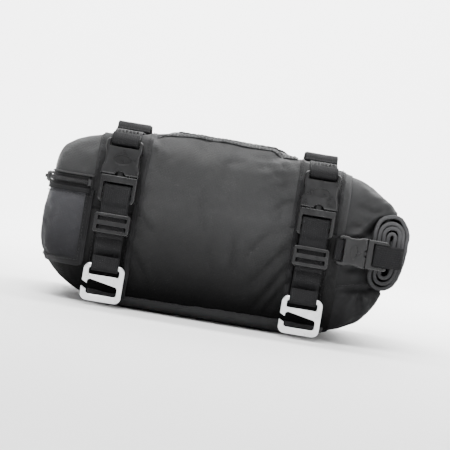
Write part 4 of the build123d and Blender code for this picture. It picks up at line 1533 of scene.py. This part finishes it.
tabs, closure_parts = [], []
end_threads = Threads()
for side, sy in SIDES:
    def closure_points(path):
        return [vec(CLOSE_X - back, sy * (CLOSE_Y + out), CLOSE_Z) for out, back in path]

    o = ribbon(f"closure_tab_web_{side}", round_path(closure_points(TAB_PATH), 1.2, 0.7),
               CLOSE_W, 1.3, MAT["web"], across=ACROSS_Z)
    tabs.append((o, "webbing", f"closure_tab_{side}"))
    path = [vec(ROLL_X + 9.0, sy * (ROLL_HALF + 1.7), CLOSE_Z),
            vec(ROLL_X + 11.4, sy * (ROLL_HALF + 3.4), CLOSE_Z),
            vec(ROLL_X + 11.0, sy * (ROLL_HALF + 7.0), CLOSE_Z),
            vec(ROLL_X + 7.0, sy * (CLOSE_Y + 0.4), CLOSE_Z)]
    o = ribbon(f"closure_web_{side}", round_path(path + closure_points(STRAP_PATH), 1.6, 0.9),
               CLOSE_W, 1.4, MAT["web"], across=ACROSS_Z, wave=0.08, seed=sy)
    closure_parts.append((o, "webbing", f"closure_strap_{side}"))
    # the strap's sewn end lies flat on the end of the roll
    points = [vec(x, sy * (ROLL_HALF + 1.45 + (0.25 if x > 170 else 0.0)), CLOSE_Z)
              for x in spread(151.0, 171.5, 15)]
    o = ribbon(f"closure_end_{side}", points, CLOSE_W, 1.2, MAT["web"], across=ACROSS_Z)
    closure_parts.append((o, "webbing"))
    for z0, z1, x0, x1 in BOX:
        line = [vec(lerp(x0, x1, t), sy * (ROLL_HALF + 2.05), CLOSE_Z + lerp(z0, z1, t))
                for t in spread(0, 1, 12)]
        end_threads.row(line, [vec(0, sy, 0)] * 12, pitch=2.9, length=2.2, radius=0.26)
end_seam = end_threads.build("closure_end_stitch", MAT["tack"])

# ---------------------------------------------------------------- CAD pieces that stay
# their faces carry exact normals, so they only take a material
CAD_MATERIALS = {
    ("buckle_", "plug_arm", "strap_slider", "closure_socket", "closure_plug",
     "closure_arm"): "acetal",
    ("g_hook",): "alloy",
}
CAD_EXACT = {"zip_slider": "zipmetal", "zip_pull": "zipmetal", "lip_stiffener": "strip",
             "zip_end_stops": "zipcoil"}
for name, o in NODES.items():
    key = CAD_EXACT.get(name)
    for prefixes, material in CAD_MATERIALS.items():
        if name.startswith(prefixes):
            key = material
    if key:
        o.data.materials.clear()
        o.data.materials.append(MAT[key])


# ---------------------------------------------------------------- bodies and replacements
def assign(o, slot, *nodes, body="bag"):
    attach(o, body)
    if nodes:
        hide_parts(*nodes)


def assign_collar(o):
    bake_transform(o)


seam_stitches = seams.build("seam_stitches", MAT["thread"])
bar_tacks = tacks.build("bar_tacks", MAT["tack"])
assign(shell, "shell_fabric", "main_shell")
assign(liner, "liner_film", "inner_liner")
assign(base, "base_rubber", "base_panel")
assign(pocket, "pocket_fabric", "rear_pocket")
assign(coil, "zip_teeth", "zip_teeth")
for part in bag_parts + web_parts:
    assign(*part)
for corner, o in mount_webs.items():
    assign(o, "webbing", f"mount_webbing_{corner}", body=f"strap_{corner}")
for part in tabs:
    assign(*part)
for part in closure_parts:
    assign(*part, body="closure")
assign(end_seam, "webbing", body="closure")
assign(hem, "collar_fabric", body="roll")
assign(seam_stitches, "webbing")
assign(bar_tacks, "webbing")
assign(grip, "grip_rubber", "handle_grip", body="grip")
assign(roll, "collar_fabric", "rolled_top", body="roll")
assign(roll_seam, "webbing", body="roll")
assign_collar(collar_seam)
assign_collar(collar)
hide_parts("collar")
for end, sx in ENDS:
    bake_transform(handle[end])
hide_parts("handle_webbing")


# ---------------------------------------------------------------- studio, in metres
def backdrop():
    """A pale floor that sweeps up into a wall at +Y."""
    t = Shader("studio_floor")
    material = t.finish(t.mix(t.noise(scale=3.0), (0.88, 0.88, 0.88), (0.91, 0.91, 0.91)), 0.7,
                        t.bump(t.noise(scale=400.0), strength=0.05, depth=0.0005))
    sweep_y, sweep_r = 1.2, 0.9
    profile = [(-4.0, 0.0), (sweep_y, 0.0)]
    for i in range(1, 15):
        a = pi / 2 * i / 14
        profile.append((sweep_y + sweep_r * sin(a), sweep_r - sweep_r * cos(a)))
    profile.append((2.1, 5.0))
    verts = [vec(x, y, z) for y, z in profile for x in (-6, 6)]
    faces = quad_faces(len(profile), 2, closed=False)
    return add_mesh("studio_backdrop", verts, faces, material, unit=1.0)


backdrop()


def area_light(name, place, target, size, power):
    light = bpy.data.lights.new(name, "AREA")
    light.shape = "RECTANGLE"
    light.size, light.size_y = size
    light.energy = power
    o = bpy.data.objects.new(name, light)
    SCENE.collection.objects.link(o)
    o.location = place
    o.rotation_euler = (Vector(target) - Vector(place)).to_track_quat("-Z", "Y").to_euler()


area_light("key_top", place=(-0.30, -0.80, 1.35), target=(0, 0, 0.08), size=(1.1, 0.7),
           power=38.0)
area_light("fill_front", place=(0.85, -1.5, 0.65), target=(0.02, 0, 0.08), size=(0.6, 0.6),
           power=8.0)
area_light("rim_back", place=(0.5, 1.0, 0.9), target=(0, 0, 0.12), size=(1.0, 0.5), power=10.0)
area_light("backdrop_wash", place=(0.0, 0.55, 1.7), target=(0.0, 2.1, 0.5), size=(2.6, 0.9),
           power=215.0)

# the world looks brighter to the camera than it lights the scene
WORLD_LIGHT, CAMERA_EXTRA = 0.62, 1.1
world = bpy.data.worlds.new("studio")
SCENE.world = world
world.use_nodes = True
nodes, links = world.node_tree.nodes, world.node_tree.links
background = nodes["Background"]
background.inputs[0].default_value = (1.0, 1.0, 1.0, 1.0)
strength = nodes.new("ShaderNodeMath")
strength.operation = "MULTIPLY_ADD"
links.new(nodes.new("ShaderNodeLightPath").outputs["Is Camera Ray"], strength.inputs[0])
strength.inputs[1].default_value = CAMERA_EXTRA
strength.inputs[2].default_value = WORLD_LIGHT
links.new(strength.outputs[0], background.inputs[1])

# the camera looks at the right flank from slightly above, rolled about its view
ELEVATION, CAMERA_ROLL, DISTANCE = radians(1.5), radians(9.5), 1.62
camera_data = bpy.data.cameras.new("camera")
camera = bpy.data.objects.new("camera", camera_data)
SCENE.collection.objects.link(camera)
camera_data.lens = 135.0
camera_data.sensor_width = 36.0
camera_data.clip_end = 50.0
back = vec(0.0, -cos(ELEVATION), sin(ELEVATION))
place = vec(0.010, 0.0, 0.088) + back * DISTANCE
level = vec(1, 0, 0)
right = level * cos(CAMERA_ROLL) + back.cross(level).normalized() * sin(CAMERA_ROLL)
up = back.cross(right).normalized()
camera.location = place
camera.matrix_world = Matrix((
    (right.x, up.x, back.x, camera.location.x), (right.y, up.y, back.y, camera.location.y),
    (right.z, up.z, back.z, camera.location.z), (0, 0, 0, 1)))
SCENE.camera = camera
